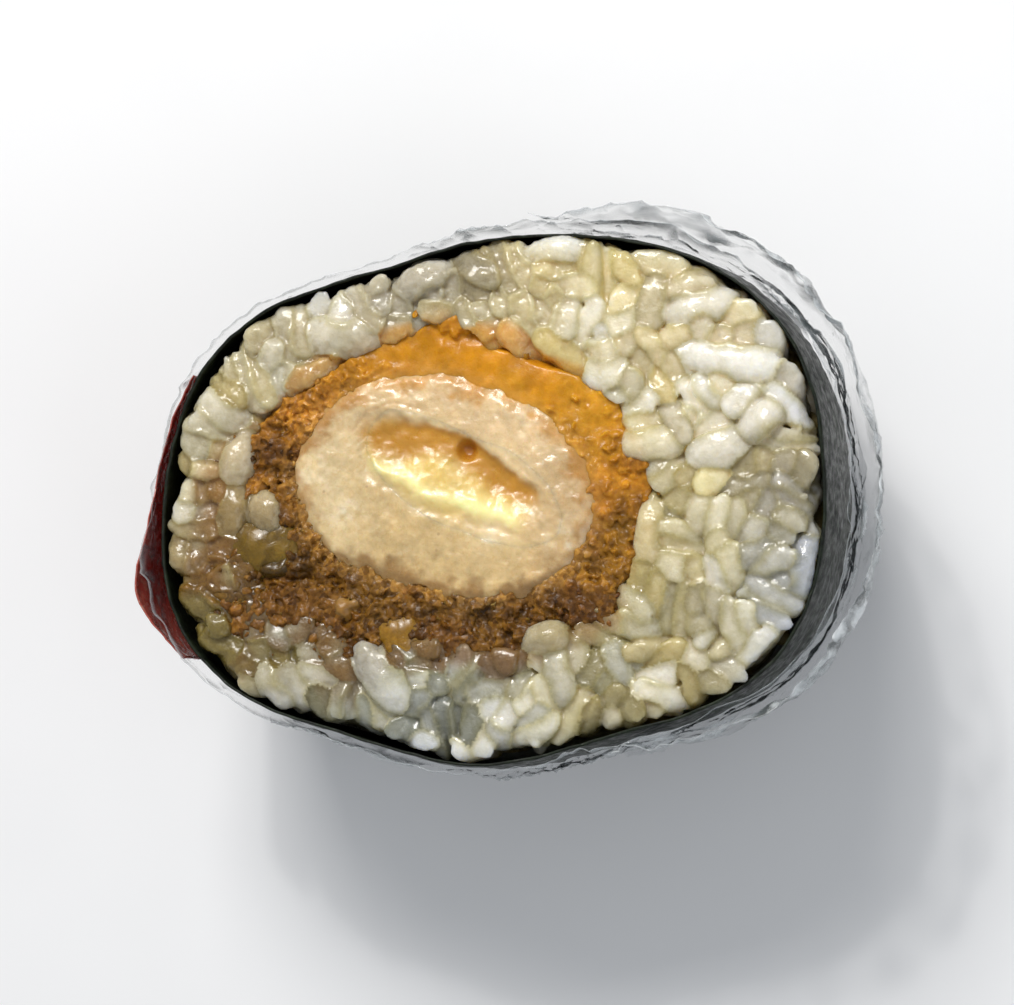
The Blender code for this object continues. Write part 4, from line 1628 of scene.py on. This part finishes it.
def make_nori():
    def displace(s, t, a):
        p = flat(35 * np.cos(a), 35 * np.sin(a), t)
        lumpy = 0.32 * sheet_noise.layers(p, 5.0, 3) + 0.10 * sheet_noise(p, 1.6)
        folds = creases(s, t, 220.5, 46, 8, (14, 40), (0.5, 1.1), (0.15, 0.5), 30)
        top = 1 - 0.6 * smooth(t, 36, 44)
        return (lumpy * 0.8 - 0.25 + folds * 0.6) * top

    def lift(a):
        p = flat(30 * np.cos(a), 30 * np.sin(a))
        return 0.1 + 0.35 * rim_wave(a) * 0.35 + 0.45 * sheet_noise.layers(p, 5.0, 4)

    obj, heights = wall_sheet("nori_sheet", GAP, 420, 56, 9, displace, lift, 0.3)
    obj.data.materials.append(nori_material())
    return smooth_shaded(obj)


def film_heights(s, t, a, seed, amount=1.0):
    p = flat(36 * np.cos(a), 36 * np.sin(a), t * 0.55)
    soft = 0.28 * sheet_noise.layers(p, 7.0, 3)
    crumple = 0.22 * sheet_noise.ridged(p + 17 + seed, 4.5, 3)
    lines = creases(s, t, 220.5, 120, 60 + seed, (10, 40), (0.14, 0.4), (0.25, 0.8), 20)
    lines += creases(s, t, 220.5, 130, 90 + seed, (10, 40), (0.16, 0.42), (0.15, 0.6), 22, 0)
    return (soft + crumple + lines * 0.8) * amount + 0.12


def make_film():
    def displace(s, t, a):
        return film_heights(s, t, a, 0)

    def lift(a):
        p = flat(30 * np.cos(a), 30 * np.sin(a))
        return 0.9 + 0.36 * rim_wave(a) + 0.6 * sheet_noise.layers(p, 4.0, 4)

    obj, heights = wall_sheet("film_wrap", 2 * GAP + NORI, 460, 80, 12, displace, lift, 0.07, film_flare)
    # whiter along the crease ridges: the creased film's haze with painted highlights
    lines = np.clip((heights - 0.28) / 0.6, 0, 1) ** 1.4
    x, y, z = points_of(obj.data).T * 1000
    # painted highlight: a bright line along the film's cut edge
    rim = 0.6 * smooth(z, H - 0.8, H + 0.8)
    paint(obj, "fold_haze_and_highlight", np.maximum(lines, rim))
    # painted reflection: the silver band below the rim at the upper right
    silver_reflection = near(np.arctan2(y, x), 54, 26) * smooth(z, H - 5.5, H - 1.0)
    paint(obj, "band", np.clip(silver_reflection * (0.8 + 0.7 * sheet_noise.layers(flat(x, y, z), 3.0, 3)), 0, 1))
    obj.data.materials.append(film_material())
    return smooth_shaded(obj)


def make_loose_film():
    """The film's loose outer turn at the right, standing off the wall with a torn, crumpled edge."""
    cols, rows = 260, 70
    first, last = math.radians(-62), math.radians(80)
    a = np.linspace(first, last, cols)
    t = np.linspace(0, 1, rows)[:, None]
    share = (np.degrees(a) + 62) / 142
    ends = smooth(share, 0.0, 0.22) * (1 - smooth(share, 0.7, 1.0))
    low = 9.0 + 5.0 * sheet_noise.layers(flat(20 * np.cos(a), 20 * np.sin(a), 9.0), 9.0, 3)
    z = low + (H + 1.2 - low) * t
    s = a * 35.1
    p = flat(36 * np.cos(a) + 0 * t, 36 * np.sin(a) + 0 * t, z * 0.6)
    rim = sheet_noise.layers(flat(30 * np.cos(a), 30 * np.sin(a)), 3.6, 4)
    z = z + smooth(t, 0.7, 1.0) * (1.1 * rim + 1.2 * ends)
    stand = (0.7 + 1.9 * ends * smooth(t, 0.25, 1.0)) + 0.55 * sheet_noise.ridged(p + 5, 5.0, 3) * (
        0.3 + 0.7 * smooth(t, 0.3, 1.0)
    )
    stand = stand + creases(s + 0 * t, (z - 4), 1000.0, 70, 5, (6, 26), (0.2, 0.55), (0.3, 1.1), 24)
    inset, pz, _ = fine_path(2 * GAP + NORI + 0.3, 80)
    base = np.interp(z, pz, inset)
    out = film_flare(a + 0 * t, z) + stand
    r = rice_line.radius(a + 0 * t, base - out)
    x, y = r * np.cos(a), r * np.sin(a)
    verts = flat(x, y, z).reshape(-1, 3)
    k, i = np.meshgrid(np.arange(rows - 1), np.arange(cols - 1), indexing="ij")
    faces = np.stack(
        [k * cols + i, k * cols + i + 1, (k + 1) * cols + i + 1, (k + 1) * cols + i], -1
    ).reshape(-1, 4)
    obj = new_object("film_loose", verts, faces.tolist())
    shell = obj.modifiers.new("thickness", "SOLIDIFY")
    shell.thickness = 0.00007
    shell.offset = 1.0
    # whiter where the film stands off in creases: its haze with painted highlights; a painted highlight along the torn
    # edge
    fold_haze_and_highlight = np.clip((stand - 1.0 - 1.8 * ends * smooth(t, 0.25, 1.0)) / 1.2, 0, 1).reshape(-1)
    edge = smooth(np.broadcast_to(t, z.shape).reshape(-1), 0.93, 1.0)
    paint(obj, "fold_haze_and_highlight", np.maximum(fold_haze_and_highlight, edge * 0.8))
    x, y, z = verts.T
    # painted reflection: grey and silver streaks on the upper part of the loose turn
    grey = 0.6 * smooth(z, H - 16, H - 2) * (ends + 0 * t).reshape(-1)
    paint(obj, "band", np.clip(grey * (0.8 + 1.2 * sheet_noise.layers(flat(x, y, z), 4.0, 3)), 0, 1))
    obj.data.materials.append(film_material("film_loose_look", 0.04, 0.4))
    return smooth_shaded(obj)


def make_tape():
    cols, rows = 90, 60
    first, last = math.radians(157), math.radians(207)
    a = np.linspace(first, last, cols)
    t = np.linspace(0, 1, rows)[:, None]
    z = H - 2.6 + 3.5 * near(a, 194, 14) - 21.0 * (1 - t)
    inset, pz, _ = fine_path(2 * GAP + NORI + 0.35, 80)
    p = flat(36 * np.cos(a) + 0 * t, 36 * np.sin(a) + 0 * t, z)
    bulge = 1.3 * near(a, 195, 8) * smooth(t, 0.35, 1.0)
    wave = 0.22 * sheet_noise.layers(p, 4.0, 3) + 0.12 * sheet_noise.ridged(p, 2.6, 2)
    lines = creases(a * 36 + 0 * t, z, 1000.0, 14, 3, (5, 14), (0.2, 0.4), (0.1, 0.35), 40)
    out = 0.8 * flare(a + 0 * t, z) + bulge + 0.6 * wave + 0.15 + 0.6 * lines
    z = z + smooth(t, 0.85, 1.0) * (0.35 * sheet_noise.layers(flat(a * 36, 0.0), 2.5, 3))
    r = rice_line.radius(a + 0 * t, np.interp(z, pz, inset) - out)
    x, y = r * np.cos(a), r * np.sin(a)
    verts = flat(x, y, z).reshape(-1, 3)
    k, i = np.meshgrid(np.arange(rows - 1), np.arange(cols - 1), indexing="ij")
    faces = np.stack(
        [k * cols + i, k * cols + i + 1, (k + 1) * cols + i + 1, (k + 1) * cols + i], -1
    ).reshape(-1, 4)
    obj = new_object("tape_strip", verts, faces.tolist())
    shell = obj.modifiers.new("thickness", "SOLIDIFY")
    shell.thickness = 0.00016
    shell.offset = 1.0
    obj.data.materials.append(tape_material())
    return smooth_shaded(obj)


def make_rice_core():
    """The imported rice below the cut, from the coating's hollow out to the nori."""
    cols = 200
    a = np.linspace(0, 2 * math.pi, cols, endpoint=False)
    inset, z, _ = fine_path(0.0, 26)
    rings = []
    for k in range(len(z)):
        if z[k] > H - 6.2:
            break
        x, y = rice_line.at(a, inset[k] + 0.35)
        p = flat(x, y, z[k])
        wob = 1 + 0.006 * blotch.layers(p, 3.0, 2)
        rings.append(flat(x * wob, y * wob, z[k] + 0.2))
    for line, ins in ((rice_line, 1.0), (coating_line, -0.3)):
        x, y = line.at(a, ins)
        rings.append(flat(x, y, H - 6.0 + 0.2 * blotch.layers(flat(x, y), 3.0, 2)))
    for share, ins in ((0.45, 0.2), (0.78, 1.2), (0.94, 3.5), (1.0, 7.0)):
        x, y = coating_line.at(a, ins - 0.3)
        rings.append(flat(x, y, H - COATING_RUN * share - 0.3))
    verts, faces = rings_mesh(rings)
    obj = new_object("rice_core", verts, faces)
    x, y, zz = verts.T
    # painted shade: the core that shows in the gaps is the rice's colour darkened by a fifth
    paint(obj, "tint", soaked(rice_colour_and_shade(x, y) * 0.8, x, y, zz))
    return smooth_shaded(obj)


# ---------------------------------------------------------------------------
# Put together
# ---------------------------------------------------------------------------
def keep(obj, node):
    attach(obj, "root")
    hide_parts(node)


rice = rice_mass()
keep(rice, "rice")
core = make_rice_core()
core.data.materials.append(rice.data.materials[0])
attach(core, "root")

keep(make_coating(), "coating")
crumbs = make_crumbs()
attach(crumbs, "root")
bits = make_sauce_bits()
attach(bits, "root")

keep(make_meat(), "meat")
keep(make_cheese(), "cheese")
keep(make_nori(), "nori")
keep(make_film(), "film")
loose = make_loose_film()
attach(loose, "root")
keep(make_tape(), "tape")

# ---------------------------------------------------------------------------
# Floor, light and camera
# ---------------------------------------------------------------------------
scene = bpy.context.scene
floor_verts = [(-3000, -3000, 0), (3000, -3000, 0), (3000, 3000, 0), (-3000, 3000, 0)]
floor = new_object("floor", floor_verts, [(0, 1, 2, 3)], shift=False)
floor.data.materials.append(floor_material())

world = bpy.data.worlds.new("studio")
scene.world = world
world.use_nodes = True
world.node_tree.nodes["Background"].inputs["Color"].default_value = (0.93, 0.96, 1.0, 1.0)
world.node_tree.nodes["Background"].inputs["Strength"].default_value = 0.42


def area_light(name, place, target, size, power, colour):
    data = bpy.data.lights.new(name, "AREA")
    data.shape = "RECTANGLE"
    data.size, data.size_y = size
    data.energy = power
    data.color = colour
    obj = bpy.data.objects.new(name, data)
    obj.location = place
    obj.rotation_euler = (Vector(target) - Vector(place)).to_track_quat("-Z", "Y").to_euler()
    scene.collection.objects.link(obj)


area_light("key", (-0.12, 0.50, 0.62), (0, 0, 0.03), (0.32, 0.26), 4.4, (1.0, 0.975, 0.94))
area_light("spark", (-0.10, 0.46, 0.66), (0, 0, 0.03), (0.035, 0.035), 0.8, (1.0, 0.98, 0.95))
area_light("fill", (0.55, -0.25, 0.55), (0, 0, 0.03), (0.5, 0.5), 1.0, (0.93, 0.96, 1.0))

camera = bpy.data.cameras.new("camera")
camera.lens, camera.sensor_width = 120.0, 36.0
eye = bpy.data.objects.new("camera", camera)
scene.collection.objects.link(eye)
tilt, toward = math.radians(13), math.radians(-12)
middle = Vector((0.0015, 0.0, 0.036))
back = Vector((math.sin(tilt) * math.cos(toward), math.sin(tilt) * math.sin(toward), math.cos(tilt)))
eye.location = middle + back * 0.40
right = Vector((0, 1, 0)).cross(back).normalized()
up = back.cross(right)
eye.matrix_world = Matrix(
    (
        (right.x, up.x, back.x, eye.location.x),
        (right.y, up.y, back.y, eye.location.y),
        (right.z, up.z, back.z, eye.location.z),
        (0, 0, 0, 1),
    )
)
camera.clip_start, camera.clip_end = 0.01, 20
scene.camera = eye

scene.view_settings.view_transform = "Standard"
scene.view_settings.look = "None"
